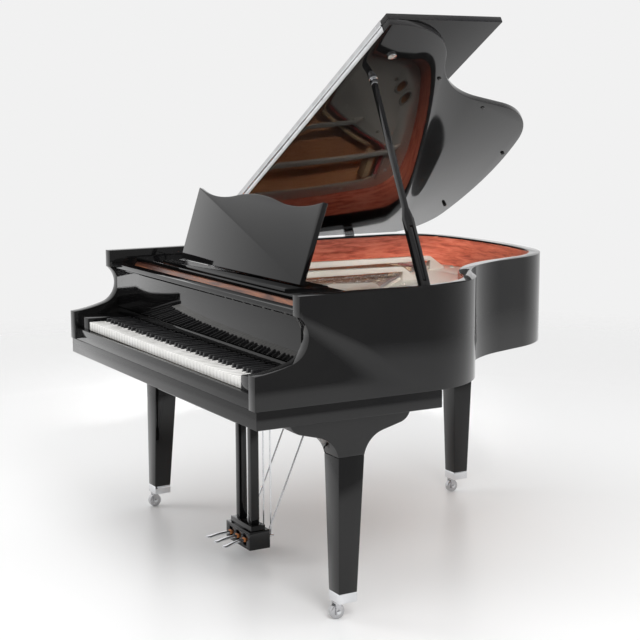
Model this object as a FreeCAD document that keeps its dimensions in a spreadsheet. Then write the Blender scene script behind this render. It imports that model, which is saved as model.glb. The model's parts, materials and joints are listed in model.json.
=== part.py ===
import FreeCAD, Part
import math
import os
from types import SimpleNamespace

import Sketcher

os.makedirs("parts", exist_ok=True)
doc = FreeCAD.newDocument("GrandPiano")
Vector = FreeCAD.Vector

# Driving dimensions in millimetres and degrees.
# Depths run back from the front of the arms, and heights run up from the floor.
dimensions = [
    ("case_length", 1556, "front of the arms to the tail of the rim"),
    ("shoulder_radius", 303, "outline: turn in behind the treble side"),
    ("shoulder_turn", 66, "outline: degrees of that turn"),
    ("waist_radius", 485, "outline: turn back out at the waist"),
    ("waist_turn", 48.4, "outline: degrees of that turn"),
    ("flare_length", 138, "outline: straight run after the waist"),
    ("tail_corner_radius", 327, "outline: treble corner of the tail"),
    ("tail_corner_turn", 58.9, "outline: degrees of that turn"),
    ("tail_turn", 22, "outline: degrees of the shallow tail curve"),
    ("bass_corner_radius", 191, "outline: bass corner of the tail"),
    ("rim_thickness", 40, "laminated outer rim"),
    ("rim_height", 315, "outer rim, bottom to top edge"),
    ("arm_front_height", 100, "arm at its front end, above the keybed"),
    ("arm_nose_run", 120, "depth of the shallow front sweep of the arm"),
    ("arm_nose_rise", 25, "rise of that front sweep"),
    ("scoop_depth", 171, "deepest point of the arm's scoop"),
    ("scoop_height", 201, "height of that point above the keybed"),
    ("head_depth", 142, "front of the block at the top of the arm"),
    ("head_height", 60, "that block, below the rim's top edge"),
    ("veneer_thickness", 3, "figured veneer inside the rim"),
    ("veneer_drop", 6, "veneer below the rim's top edge"),
    ("inner_rim_thickness", 45, "inner rim that carries the soundboard"),
    ("inner_rim_height", 122, "inner rim, bottom to soundboard"),
    ("inner_rim_start", 335, "front end of the inner rim"),
    ("inner_rim_lift", 25, "bottom of the inner rim above the keybed"),
    ("belly_rail_depth", 35, "belly rail under the soundboard's front edge"),
    ("brace_width", 44, "fanned braces under the soundboard"),
    ("brace_drop", 40, "top of those braces below the soundboard"),
    ("leg_plate_lead", 110, "plate over the rear leg, ahead of the leg's middle"),
    ("keybed_thickness", 53, "keybed slab, seen as the lower tier"),
    ("keybed_length", 621, "keybed, front to back"),
    ("keybed_setback", 4, "keybed front behind the arm fronts"),
    ("keybed_height", 665, "top of the keybed above the floor"),
    ("leg_top_width", 87, "leg, square at the bracket"),
    ("leg_bottom_width", 62, "leg, square at the ferrule"),
    ("leg_outset", 720, "outer face of the front legs from the middle"),
    ("leg_setback", 282, "front face of the front legs"),
    ("bracket_height", 118, "S-shaped bracket on top of a leg"),
    ("bracket_reach", 158, "bracket wing beyond the leg"),
    ("bracket_lip", 5, "upright end of a bracket wing"),
    ("rear_leg_offset", 290, "rear leg to the bass side of the middle"),
    ("rear_leg_margin", 154, "centre of the rear leg ahead of the tail"),
    ("ferrule_height", 30, "chromed cap on the end of a leg"),
    ("wheel_diameter", 46, "caster wheel"),
    ("ferrule_gap", 6, "ferrule above the caster wheel"),
    ("wheel_width", 20, "caster wheel"),
    ("axle_diameter", 8, "caster axle"),
    ("caster_trail", 22, "wheel ahead of the swivel stem"),
    ("fork_wall", 5, "caster fork cheeks"),
    ("fork_gap", 1, "fork above the wheel"),
    ("fork_half", 9, "half depth of the fork's cheeks"),
    ("fork_back", 14, "fork behind its stem"),
    ("stem_diameter", 12, "caster swivel stem"),
    ("stem_length", 24, "caster stem inside the ferrule and leg"),
    ("key_pitch", 23.5, "one natural key to the next"),
    ("key_gap", 1, "air between neighbouring keys"),
    ("key_front", 23, "front of the natural keys"),
    ("key_length", 440, "natural key, front to back"),
    ("key_top_height", 73, "playing surface above the keybed"),
    ("key_thickness", 22, "key stick"),
    ("key_head_length", 50, "wide front of a natural key"),
    ("key_head_drop", 8, "front lip of a natural key"),
    ("key_lip_setback", 4, "front lip short of the wide front"),
    ("sharp_width", 10.5, "black key"),
    ("sharp_rise", 12, "black key above the naturals"),
    ("sharp_setback", 50, "front of the black keys behind the naturals"),
    ("sharp_length", 98, "playing length of the black keys"),
    ("sharp_slope", 7, "sloped front of the black keys"),
    ("key_margin", 5, "air between the end keys and the cheek blocks"),
    ("cheek_width", 89, "cheek block at each end of the keys"),
    ("cheek_setback", 6, "cheek blocks ahead of the fallboard"),
    ("slip_gap", 3, "key slip ahead of the keys"),
    ("slip_drop", 30, "key slip below the playing surface"),
    ("balance_depth", 240, "balance rail, where the keys pivot"),
    ("frame_setback", 17, "key frame behind the key fronts"),
    ("frame_rail_depth", 50, "front and balance rails of the key frame"),
    ("front_rail_height", 25, "front rail of the key frame"),
    ("balance_rail_lead", 5, "balance rail ahead of the key pivots"),
    ("back_rail_depth", 45, "back rail and end brackets"),
    ("back_rail_overhang", 5, "back rail behind the keys"),
    ("frame_side_width", 20, "side members of the key frame"),
    ("frame_side_height", 17, "side members of the key frame"),
    ("bracket_wall", 13, "end brackets of the action"),
    ("bracket_gap", 3, "end brackets beyond the keys"),
    ("fallboard_depth", 168, "face of the raised fallboard"),
    ("fallboard_thickness", 22, "fallboard panel"),
    ("fallboard_height", 160, "fallboard panel"),
    ("fallboard_lift", 110, "lower edge above the keybed"),
    ("fallboard_lip", 18, "lip along the free edge"),
    ("fallboard_lip_height", 24, "lip along the free edge"),
    ("fallboard_lip_face", 14.4, "upright face of that lip"),
    ("fallboard_lip_round", 19.2, "hollow under that lip"),
    ("fallboard_gap", 1, "fallboard short of the arms"),
    ("fallboard_pin_diameter", 10, "pivot pins in the arms"),
    ("fallboard_pin_length", 10, "pivot pins in the arms"),
    ("fallboard_pin_room", 2, "hole beyond the end of a pivot pin"),
    ("fallboard_pin_lift", 15, "pivot pins above the lower edge"),
    ("fallboard_pin_cover", 4, "fallboard behind the pivot pins"),
    ("shelf_front", 247, "front of the music shelf"),
    ("shelf_depth", 183, "music shelf, front to back"),
    ("shelf_thickness", 15, "music shelf"),
    ("shelf_drop", 30, "top of the shelf below the rim's top edge"),
    ("tray_width", 920, "sliding tray under the desk"),
    ("tray_depth", 150, "tray, front to back"),
    ("tray_thickness", 13, "tray"),
    ("tray_step", 2, "ledge in front of the desk, above the rest of the tray"),
    ("ledge_depth", 58, "ledge in front of the desk"),
    ("desk_width", 894, "music desk at its top corners"),
    ("desk_foot_width", 880, "music desk at its foot"),
    ("desk_height", 262, "music desk, foot to top corners"),
    ("desk_thickness", 18, "music desk"),
    ("desk_dip", 19, "depth of the two waves in the top edge"),
    ("desk_wave", 130, "half width of the middle wave"),
    ("desk_gap", 2, "desk behind the ledge"),
    ("desk_lean", 18, "backward lean of the raised desk, degrees"),
    ("lid_angle", 30.3, "lid above closed, degrees"),
    ("lid_thickness", 20, "lid boards"),
    ("lid_overhang", 8, "lid beyond the rim"),
    ("lid_fold", 560, "fold between the lid and its front flap"),
    ("lid_front", 138, "front edge of the flap when closed"),
    ("hinge_radius", 7, "lid hinge knuckles"),
    ("hinge_lift", 1, "lid hinge line above the rim"),
    ("hinge_length", 44, "lid hinge"),
    ("hinge_leaf", 3.5, "lid hinge leaf thickness"),
    ("hinge_leaf_gap", 2, "lid hinge leaves clear of the knuckles"),
    ("hinge_leaf_inset", 2, "lid hinge leaf short of the lid's top"),
    ("pin_radius", 3, "lid hinge pin"),
    ("prop_depth", 602, "lid prop foot"),
    ("prop_cup_reach", 1212, "prop cup, from the lid's hinge line"),
    ("prop_cup_depth", 656, "prop cup, front to back"),
    ("short_cup_gap", 130, "second cup beyond the first"),
    ("prop_width", 34, "wide lower part of the prop"),
    ("prop_tip_width", 15, "slim upper part of the prop"),
    ("prop_thickness", 16, "prop"),
    ("prop_wide_length", 236, "length of the wide part"),
    ("prop_taper", 38, "taper between the two parts"),
    ("cup_radius", 14, "prop cup"),
    ("cup_height", 8, "prop cup"),
    ("soundboard_thickness", 8, "soundboard"),
    ("soundboard_front", 605, "front edge of the soundboard"),
    ("rib_width", 20, "soundboard ribs"),
    ("rib_height", 22, "soundboard ribs"),
    ("rib_margin", 60, "end ribs inside the belly rail and the tail"),
    ("rib_end_gap", 1, "ribs short of the inner rim"),
    ("pin_block_thickness", 40, "pin block under the front of the plate"),
    ("pin_block_depth", 165, "pin block, front to back"),
    ("plate_thickness", 14, "web of the iron plate"),
    ("plate_inset", 6, "air between the plate and the rim"),
    ("plate_setback", 2, "plate behind the front of the pin block"),
    ("plate_front_depth", 170, "web over the pin block"),
    ("plate_post", 16, "square posts under the plate"),
    ("strut_width", 26, "struts of the plate"),
    ("strut_height", 59, "struts above the web"),
    ("strut_clearance", 24, "struts above the strings"),
    ("strut_toe", 50, "toe of a strut ahead of the web's back edge"),
    ("strut_toe_rise", 4, "tip of that toe above the strut's underside"),
    ("strut_throat", 12, "back of that toe ahead of the web's back edge"),
    ("strut_crest", 60, "highest point of a strut behind the web"),
    ("strut_fall", 8, "fall of a strut's top, front to back"),
    ("strut_foot_gap", 27, "foot of a strut behind the hitch line"),
    ("strut_foot_length", 64, "foot of a strut"),
    ("strut_heel_height", 6, "back end of that foot above the web"),
    ("hitch_width", 60, "hitch rail of the plate"),
    ("hitch_treble_depth", 690, "hitch rail at the treble end"),
    ("hitch_tail_margin", 211, "hitch rail at the bass end, ahead of the tail"),
    ("hitch_band_gap", 4, "raised band behind the hitch line"),
    ("hitch_band_width", 20, "raised band that the strings end on"),
    ("web_strip", 10, "raised strip along the back of the front web"),
    ("bass_web_lead", 10, "tail web ahead of the hitch line, in the bass"),
    ("flange_width", 54, "flanges of the plate along the rim"),
    ("flange_lap", 30, "flanges over the front web"),
    ("flange_taper", 133, "bass flange narrows to here, behind the web"),
    ("flange_flare_margin", 286, "bass flange widens from here, ahead of the tail"),
    ("flange_end_margin", 156, "back end of the bass flange, ahead of the tail"),
    ("string_rise", 10, "strings above the web"),
    ("string_size", 1.6, "one course of strings"),
    ("string_lead", 8, "strings ahead of the web's back edge"),
    ("string_tail", 20, "strings behind the hitch line"),
    ("bridge_width", 28, "bridges"),
    ("bridge_setback", 75, "bridge ahead of the hitch rail"),
    ("bridge_overhang", 8, "bridges beyond the end strings"),
    ("long_bridge_gap", 35, "long bridge beyond the bass break"),
    ("bass_bridge_gap", 30, "bass bridge beyond the bass break"),
    ("tuning_pin_size", 5.5, "square head of a tuning pin"),
    ("tuning_pin_height", 30, "tuning pin above the web"),
    ("pin_row_setback", 62, "nearest tuning pins ahead of the web's back edge"),
    ("pin_row_pitch", 22, "one row of tuning pins to the next"),
    ("damper_length", 44, "damper head"),
    ("damper_height", 14, "damper head"),
    ("damper_width", 9, "damper head"),
    ("damper_slope", 6, "sloped ends of a damper head"),
    ("damper_depth", 586, "front of the damper heads"),
    ("hammer_depth", 560, "strike line"),
    ("hammer_width", 9, "hammer head"),
    ("hammer_blow", 46, "hammer head below its strings"),
    ("shank_length", 120, "hammer pivot ahead of the strike line"),
    ("shank_drop", 14, "hammer shanks below the soundboard"),
    ("shank_thickness", 6, "hammer shanks"),
    ("hammer_half_base", 12, "half length of a hammer head at its shank"),
    ("hammer_rail_lead", 10, "hammer rail ahead of the pivots"),
    ("hammer_rail_depth", 22, "hammer rail, front to back"),
    ("hammer_rail_height", 15, "hammer rail"),
    ("wippen_lift", 17, "wippens above the keys"),
    ("wippen_length", 70, "wippens"),
    ("wippen_thickness", 9, "wippens"),
    ("wippen_back", 15, "back of the wippens behind the hammer pivots"),
    ("wippen_rail_depth", 13, "wippen rail, front to back"),
    ("wippen_rail_height", 18, "wippen rail"),
    ("wippen_rail_drop", 3, "wippen rail below the wippens"),
    ("lyre_box_width", 178, "pedal box"),
    ("lyre_box_height", 62, "pedal box"),
    ("lyre_box_depth", 76, "pedal box, front to back"),
    ("lyre_setback", 305, "front of the pedal box"),
    ("lyre_clearance", 36, "pedal box above the floor"),
    ("lyre_cap", 16, "stepped cap on the pedal box"),
    ("lyre_cap_inset", 12, "stepped cap inside the pedal box"),
    ("pedal_room", 4, "air beside a pedal in the box"),
    ("pedal_room_below", 20, "opening for a pedal below its pivot"),
    ("pedal_room_above", 18, "opening for a pedal above its pivot"),
    ("lyre_post_width", 26, "lyre post"),
    ("lyre_post_depth", 30, "lyre post"),
    ("lyre_post_spread", 90, "one lyre post to the other"),
    ("lyre_board_height", 80, "board under the keybed that carries the lyre"),
    ("lyre_board_width", 680, "that board, end to end"),
    ("lyre_board_round", 45, "rounded lower ends of that board"),
    ("lyre_board_setback", 153, "front of that board"),
    ("lyre_board_margin", 36, "that board behind the pedal rods"),
    ("brace_diameter", 7, "lyre brace"),
    ("brace_spread", 140, "one brace to the other"),
    ("brace_run", 228, "brace, foot to head, front to back"),
    ("brace_foot_drop", 14, "brace foot below the top of the box"),
    ("pedal_pitch", 52, "one pedal to the next"),
    ("pedal_width", 16, "pedal lever"),
    ("pedal_thickness", 8, "pedal lever"),
    ("pedal_reach", 78, "pedal in front of the box"),
    ("pedal_splay", 12, "sideways sweep of the outer pedals"),
    ("pedal_toe", 12.8, "half width of a pedal's round tip"),
    ("pedal_neck", 6, "even width of a pedal ahead of the box"),
    ("pedal_tail", 8, "pedal behind its rod"),
    ("pedal_boss", 4, "metal round a pedal's bore"),
    ("pedal_height", 66, "pedal pivot above the floor"),
    ("pedal_pin_diameter", 8, "pedal pivot rod"),
    ("pedal_pin_setback", 2, "pedal pivot behind the middle of the box"),
    ("pedal_pin_cover", 6, "pedal box beyond the ends of the pivot rod"),
    ("rod_diameter", 6, "pedal rods"),
    ("rod_setback", 404, "pedal rods"),
    ("rod_gap", 10, "pedal rods below the keybed"),
    ("stay_width", 120, "stay behind the desk"),
    ("stay_length", 90, "stay behind the desk"),
    ("stay_thickness", 7, "stay behind the desk"),
    ("stay_setback", 61, "stay pin behind the foot of the desk"),
    ("stay_angle", 106.6, "raised stay above level, degrees"),
    ("stay_ear", 6, "ears that hold the stay"),
    ("stay_pin_diameter", 4, "pin of the stay"),
    ("stay_heel", 1, "stay in front of its pin"),
    ("ear_half", 6, "half depth of those ears"),
    ("flap_gap", 0.5, "air between the lid and the folded flap"),
    ("front_hinge_depth", 700, "front lid hinge"),
    ("back_hinge_margin", 369, "back lid hinge ahead of the tail"),
    ("hinge_leaf_height", 37, "hinge leaf on the rim"),
    ("fold_hinge_diameter", 6, "long hinge along the fold"),
    ("fold_hinge_margin", 30, "that hinge short of the lid's sides"),
    ("fold_strip_thickness", 2, "leaf of that hinge on the lid's edge"),
    ("fold_strip_height", 12, "leaf of that hinge on the lid's edge"),
    ("prop_standoff", 18, "prop pivot inside the veneer"),
    ("prop_slot", 13, "slot in the wide part of the prop"),
    ("prop_pin_diameter", 8, "pivot pin of the prop"),
    ("prop_drop", 18, "prop pivot below the rim's top edge"),
    ("prop_heel", 8, "prop below its pivot"),
    ("prop_slot_end", 25, "solid wood beyond each end of the slot"),
    ("prop_ear", 7, "ears of the prop's bracket"),
    ("prop_ear_nose", 8, "ears beyond the pivot"),
    ("prop_ear_half", 10, "half height of those ears"),
    ("prop_block_gap", 12, "block of the bracket beside the pivot"),
    ("prop_block_drop", 30, "that block below the pivot"),
    ("prop_block_rise", 12, "that block above the pivot"),
    ("prop_tip_gap", 0.9, "air between the prop and its cup"),
    ("clearance", 0.3, "air between pieces that move past each other"),
    ("running_fit", 0.05, "pins in their holes, on the radius"),
]

# Counts, which no change of size alters
natural_count = 52
octave_keys = 7
note_count = 88
damper_count = 68
rib_count = 7
pin_row_count = 3

# Cutters run this far past the faces that they open
overrun = 1


class Size:
    def __init__(self, value, text):
        self.value = float(value)
        self.text = text

    def __float__(self):
        return self.value

    def combine(self, other, sign, result):
        right = other.text if isinstance(other, Size) else repr(float(other))
        return Size(result, f"({self.text} {sign} {right})")

    def __add__(self, other):
        return self.combine(other, "+", self.value + float(other))

    def __sub__(self, other):
        return self.combine(other, "-", self.value - float(other))

    def __mul__(self, other):
        return self.combine(other, "*", self.value * float(other))

    def __truediv__(self, other):
        return self.combine(other, "/", self.value / float(other))

    def __neg__(self):
        return Size(-self.value, f"(-{self.text})")

    def __radd__(self, other):
        return Size(float(other), repr(float(other))) + self

    def __rsub__(self, other):
        return Size(float(other), repr(float(other))) - self

    def __rmul__(self, other):
        return Size(float(other), repr(float(other))) * self


sheet = doc.addObject("Spreadsheet::Sheet", "Sizes")
for row, (alias, value, note) in enumerate(dimensions, start=1):
    sheet.set(f"A{row}", alias)
    sheet.set(f"B{row}", str(value))
    sheet.set(f"C{row}", note)
    sheet.setAlias(f"B{row}", alias)
doc.recompute()
sizes = {alias: Size(sheet.get(alias), f"Sizes.{alias}") for alias, value, note in dimensions}
s = SimpleNamespace(**sizes)

# Levels and places worked out from the driving dimensions
key_span = s.key_pitch * natural_count
case_width = key_span + (s.key_margin + s.cheek_width + s.rim_thickness) * 2
half_width = case_width / 2
note_pitch = key_span / note_count
rear_leg_depth = s.case_length - s.rear_leg_margin
back_hinge_depth = s.case_length - s.back_hinge_margin
inner_half = half_width - s.rim_thickness
keybed_bottom = s.keybed_height - s.keybed_thickness
rim_top = s.keybed_height + s.rim_height
key_top = s.keybed_height + s.key_top_height
key_bottom = key_top - s.key_thickness
inner_rim_bottom = s.keybed_height + s.inner_rim_lift
soundboard_bottom = inner_rim_bottom + s.inner_rim_height
soundboard_top = soundboard_bottom + s.soundboard_thickness
pin_block_top = soundboard_bottom + s.pin_block_thickness
plate_top = pin_block_top + s.plate_thickness
string_level = plate_top + s.string_rise
leg_bottom = s.wheel_diameter + s.ferrule_gap + s.ferrule_height
shelf_top = rim_top - s.shelf_drop
tray_bottom = shelf_top + s.clearance
tray_top = tray_bottom + s.tray_thickness
hinge_x = -half_width - s.hinge_radius - s.clearance
hinge_z = rim_top + s.hinge_lift
lyre_middle = s.lyre_setback + s.lyre_box_depth / 2
lyre_top = s.lyre_clearance + s.lyre_box_height
pedal_pivot = lyre_middle + s.pedal_pin_setback
plate_front = s.inner_rim_start + s.plate_setback
fall_low = s.keybed_height + s.fallboard_lift
fall_back = s.fallboard_depth + s.fallboard_thickness
fall_pivot_y = fall_back - s.fallboard_pin_cover - s.fallboard_pin_diameter / 2
fall_pivot_z = fall_low + s.fallboard_pin_lift

nodes = []


def bind(obj, name, size):
    if isinstance(size, Size):
        obj.setExpression(name, size.text)
    else:
        setattr(obj, name, size)


def bind_place(obj, axis, place):
    text = place.text if isinstance(place, Size) else repr(float(place))
    obj.setExpression(f"Placement.Base.{axis}", text)


def add_node(obj, label):
    obj.Label = label
    obj.setExpression("Placement.Base.y", (-s.case_length / 2).text)
    nodes.append(obj)
    return obj


def add_group(label, members):
    group = doc.addObject("Part::Compound", label)
    group.Links = members
    return add_node(group, label)


def add_shape(label, shape):
    feature = doc.addObject("Part::Feature", label)
    feature.Shape = shape
    return add_node(feature, label)


def box(x, y, z):
    block = doc.addObject("Part::Box", "Block")
    for axis, side, (low, high) in zip("xyz", ("Length", "Width", "Height"), (x, y, z)):
        bind(block, side, high - low)
        bind_place(block, axis, low)
    return block


def rod(centre, radius, length, direction=Vector(0, 0, 1)):
    bar = doc.addObject("Part::Cylinder", "Rod")
    bind(bar, "Radius", radius)
    bind(bar, "Height", length)
    bar.Placement = FreeCAD.Placement(Vector(), FreeCAD.Rotation(Vector(0, 0, 1), direction))
    for axis, place in zip("xyz", centre):
        bind_place(bar, axis, place)
    return bar


def fuse(*pieces):
    joined = doc.addObject("Part::MultiFuse", "Joined")
    joined.Shapes = list(pieces)
    return joined


def cut(base, *tools):
    result = doc.addObject("Part::Cut", "Cut")
    result.Base = base
    result.Tool = tools[0] if len(tools) == 1 else fuse(*tools)
    return result


def new_body(label):
    body = doc.addObject("PartDesign::Body", label)
    body.AllowCompound = True
    return body


def origin_feature(body, role):
    return next(feature for feature in body.Origin.OriginFeatures if feature.Role == role)


def outline(body, role, corners, level):
    # A third value on a corner makes the run to it an arc of that radius, bulging left if positive.
    sketch = body.newObject("Sketcher::SketchObject", "Outline")
    sketch.AttachmentSupport = [(origin_feature(body, role), "")]
    sketch.MapMode = "FlatFace"
    if isinstance(level, Size):
        sketch.setExpression("AttachmentOffset.Base.z", level.text)
    else:
        sketch.AttachmentOffset = FreeCAD.Placement(Vector(0, 0, level), FreeCAD.Rotation())
    points = [Vector(float(corner[0]), float(corner[1]), 0) for corner in corners]
    ends = []
    for index, corner in enumerate(corners):
        start, end = points[index - 1], points[index]
        if len(corner) == 2:
            run = sketch.addGeometry(Part.LineSegment(start, end))
            ends.append((run, 1, 2))
            continue
        radius = abs(float(corner[2]))
        side = 1 if float(corner[2]) > 0 else -1
        chord = end - start
        left = Vector(-chord.y, chord.x, 0).normalize()
        centre = (start + end) * 0.5 - left * side * math.sqrt(radius**2 - chord.Length**2 / 4)
        first, last = (start, end) if side < 0 else (end, start)
        angles = [math.atan2(point.y - centre.y, point.x - centre.x) for point in (first, last)]
        circle = Part.Circle(centre, Vector(0, 0, 1), radius)
        run = sketch.addGeometry(Part.ArcOfCircle(circle, *angles))
        ends.append((run, 1, 2) if side < 0 else (run, 2, 1))
        number = sketch.addConstraint(Sketcher.Constraint("Radius", run, radius))
        if isinstance(corner[2], Size):
            sketch.setExpression(f"Constraints[{number}]", (corner[2] * side).text)
    for index, corner in enumerate(corners):
        run, first, last = ends[index]
        after, after_first, after_last = ends[(index + 1) % len(ends)]
        sketch.addConstraint(Sketcher.Constraint("Coincident", run, last, after, after_first))
        for kind, place in zip(("DistanceX", "DistanceY"), corner):
            number = sketch.addConstraint(Sketcher.Constraint(kind, -1, 1, run, last, float(place)))
            if isinstance(place, Size):
                sketch.setExpression(f"Constraints[{number}]", place.text)
    return sketch


def pad(body, role, corners, low, high):
    # The sketch lies across the axis that the role leaves out, and the pad runs from low to high on it.
    level = -high if role == "XZ_Plane" else low
    feature = body.newObject("PartDesign::Pad", "Pad")
    feature.Profile = outline(body, role, corners, level)
    bind(feature, "Length", high - low)
    return feature


def row_of(body, originals, step, count):
    pattern = body.newObject("PartDesign::LinearPattern", "Row")
    pattern.Originals = originals
    pattern.Direction = (origin_feature(body, "X_Axis"), [""])
    bind(pattern, "Length", step * (count - 1))
    pattern.Occurrences = round(count)
    body.Tip = pattern


def rectangle(x, y):
    return [(x[0], y[0]), (x[1], y[0]), (x[1], y[1]), (x[0], y[1])]


# Outline of the case: tangent arcs from the treble side round the tail to the bass side.
# The tail curve closes the outline on the bass side, and the treble side takes up the length.
def case_runs():
    runs = [
        (float(s.shoulder_radius), math.radians(s.shoulder_turn)),
        (float(s.waist_radius), -math.radians(s.waist_turn)),
        (float(s.flare_length), 0.0),
        (float(s.tail_corner_radius), math.radians(s.tail_corner_turn)),
    ]
    heading = math.pi / 2
    place = Vector()
    for size, turn in runs:
        place += run_step(heading, size, turn)
        heading += turn
    tail_turn = math.radians(s.tail_turn)
    bass_turn = 1.5 * math.pi - heading - tail_turn
    bass_step = run_step(heading + tail_turn, float(s.bass_corner_radius), bass_turn)
    unit_step = run_step(heading, 1.0, tail_turn)
    tail_radius = (-float(case_width) - place.x - bass_step.x) / unit_step.x
    top = place.y + tail_radius * (1 + math.cos(heading))
    runs += [(tail_radius, tail_turn), (float(s.bass_corner_radius), bass_turn)]
    return float(s.case_length) - top, runs


def run_step(heading, size, turn):
    if turn == 0:
        return Vector(math.cos(heading), math.sin(heading), 0) * size
    across = math.sin(heading + turn) - math.sin(heading)
    along = math.cos(heading) - math.cos(heading + turn)
    return Vector(across, along, 0) * size * math.copysign(1, turn)


def case_edges(inset, start):
    side_end, runs = case_runs()
    place = Vector(float(half_width), side_end, 0)
    heading = math.pi / 2
    corner = Vector(place.x - inset, start, 0)
    edges = []
    for size, turn in runs:
        left = Vector(-math.sin(heading), math.cos(heading), 0)
        begin = place + left * inset
        if edges or (begin - corner).Length > 0:
            edges += [] if edges else [Part.makeLine(corner, begin)]
        middle = place + run_step(heading, size, turn / 2)
        half_left = Vector(-math.sin(heading + turn / 2), math.cos(heading + turn / 2), 0)
        place += run_step(heading, size, turn)
        heading += turn
        finish = place + Vector(-math.sin(heading), math.cos(heading), 0) * inset
        if turn == 0:
            edges.append(Part.makeLine(begin, finish))
        else:
            edges.append(Part.Arc(begin, middle + half_left * inset, finish).toShape())
    edges.append(Part.makeLine(finish, Vector(finish.x, start, 0)))
    return edges


def case_slab(inset, start, low, high):
    # Drawn from the front of the case, then trimmed where it starts further back.
    edges = case_edges(float(inset), min(float(start), 0.0))
    first = edges[0].Vertexes[0].Point
    last = edges[-1].Vertexes[-1].Point
    face = Part.Face(Part.Wire(edges + [Part.makeLine(last, first)]))
    face.translate(Vector(0, 0, float(low)))
    slab = face.extrude(Vector(0, 0, float(high) - float(low)))
    if float(start) > 0:
        slab = slab.common(block_shape((-case_width, case_width), (start, s.case_length * 2), (low, high)))
    return slab


def block_shape(x, y, z):
    low = Vector(float(x[0]), float(y[0]), float(z[0]))
    return Part.makeBox(float(x[1]) - low.x, float(y[1]) - low.y, float(z[1]) - low.z, low)


def plan_shape(points, low, high):
    corners = [Vector(float(x), float(y), float(low)) for x, y in points]
    face = Part.Face(Part.makePolygon(corners + corners[:1]))
    return face.extrude(Vector(0, 0, float(high) - float(low)))


def arm_cutter():
    nose = float(s.keybed_height + s.arm_front_height)
    throat = Vector(0, float(s.arm_nose_run), nose + float(s.arm_nose_rise))
    belly = Vector(0, float(s.scoop_depth), float(s.keybed_height + s.scoop_height))
    head = Vector(0, float(s.head_depth), float(rim_top - s.head_height))
    above = float(rim_top) + overrun
    tip = Vector(0, -overrun, nose)
    sag_run, sag_rise = 0.52, 0.38
    sag = Vector(0, throat.y * sag_run, nose + float(s.arm_nose_rise) * sag_rise)
    edges = [
        Part.Arc(tip, sag, throat).toShape(),
        Part.Arc(throat, belly, head).toShape(),
        Part.makeLine(head, Vector(0, head.y, above)),
        Part.makeLine(Vector(0, head.y, above), Vector(0, -overrun, above)),
        Part.makeLine(Vector(0, -overrun, above), tip),
    ]
    face = Part.Face(Part.Wire(edges))
    face.translate(Vector(-float(half_width) - overrun, 0, 0))
    return face.extrude(Vector(float(case_width) + 2 * overrun, 0, 0))


# Case
rim = case_slab(0, 0, s.keybed_height, rim_top)
rim = rim.cut(case_slab(s.rim_thickness, -overrun, s.keybed_height - overrun, rim_top + overrun))
pivot_holes = [
    Part.makeCylinder(
        float(s.fallboard_pin_diameter / 2 + s.running_fit),
        float(s.fallboard_pin_length + s.fallboard_pin_room),
        Vector(side * float(inner_half), float(fall_pivot_y), float(fall_pivot_z)),
        Vector(side, 0, 0),
    )
    for side in (-1, 1)
]
add_shape("rim", rim.cut(arm_cutter()).cut(pivot_holes))

inner_inset = s.rim_thickness + s.inner_rim_thickness
inner_rim = case_slab(s.rim_thickness, s.inner_rim_start, inner_rim_bottom, soundboard_bottom)
add_shape("inner_rim", inner_rim.cut(case_slab(inner_inset, 0, s.keybed_height, rim_top)))

veneer_start = s.inner_rim_start + s.pin_block_depth + s.clearance
veneer_inset = s.rim_thickness + s.veneer_thickness
veneer = case_slab(s.rim_thickness, veneer_start, soundboard_top, rim_top - s.veneer_drop)
add_shape("rim_veneer", veneer.cut(case_slab(veneer_inset, 0, s.keybed_height, rim_top)))

# Beams below the soundboard: belly rail, three fanned braces and the plate over the rear leg
belly_depth = (float(s.soundboard_front), float(s.soundboard_front + s.belly_rail_depth))
inner_half_clear = float(half_width - inner_inset)
belly_x = (-inner_half_clear, inner_half_clear)
belly_rail = block_shape(belly_x, belly_depth, (inner_rim_bottom, soundboard_bottom))
rail_room = case_slab(inner_inset, 0, inner_rim_bottom, soundboard_bottom)
braces = [belly_rail.common(rail_room)]
# Middle of each brace on the belly rail, and how far it leans sideways as it runs back
brace_feet = (-420, -60, 280)
brace_lean = (0.08, -0.12, -0.22)
half_brace = float(s.brace_width) / 2
for foot, lean in zip(brace_feet, brace_lean):
    far = float(s.case_length)
    shift = lean * (far - belly_depth[1])
    near_edge = [(foot - half_brace, belly_depth[1]), (foot + half_brace, belly_depth[1])]
    far_edge = [(foot + half_brace + shift, far), (foot - half_brace + shift, far)]
    corners = near_edge + far_edge
    brace = plan_shape(corners, inner_rim_bottom, soundboard_bottom - s.brace_drop)
    braces.append(brace.common(rail_room))
leg_plate = case_slab(s.rim_thickness, 0, s.keybed_height, inner_rim_bottom)
leg_plate_reach = float(s.bracket_reach) + float(s.leg_top_width)
rear_x = -float(s.rear_leg_offset)
leg_plate_x = (rear_x - leg_plate_reach, rear_x + leg_plate_reach)
leg_plate_y = (rear_leg_depth - s.leg_plate_lead, s.case_length)
leg_plate = leg_plate.common(block_shape(leg_plate_x, leg_plate_y, (0, rim_top)))
braces.append(leg_plate)
add_shape("case_braces", Part.makeCompound(braces))

keybed = new_body("keybed")
keybed_back = s.keybed_setback + s.keybed_length
keybed_plan = rectangle((-half_width, half_width), (s.keybed_setback, keybed_back))
pad(keybed, "XY_Plane", keybed_plan, keybed_bottom, s.keybed_height)
add_node(keybed, "keybed")

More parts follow.
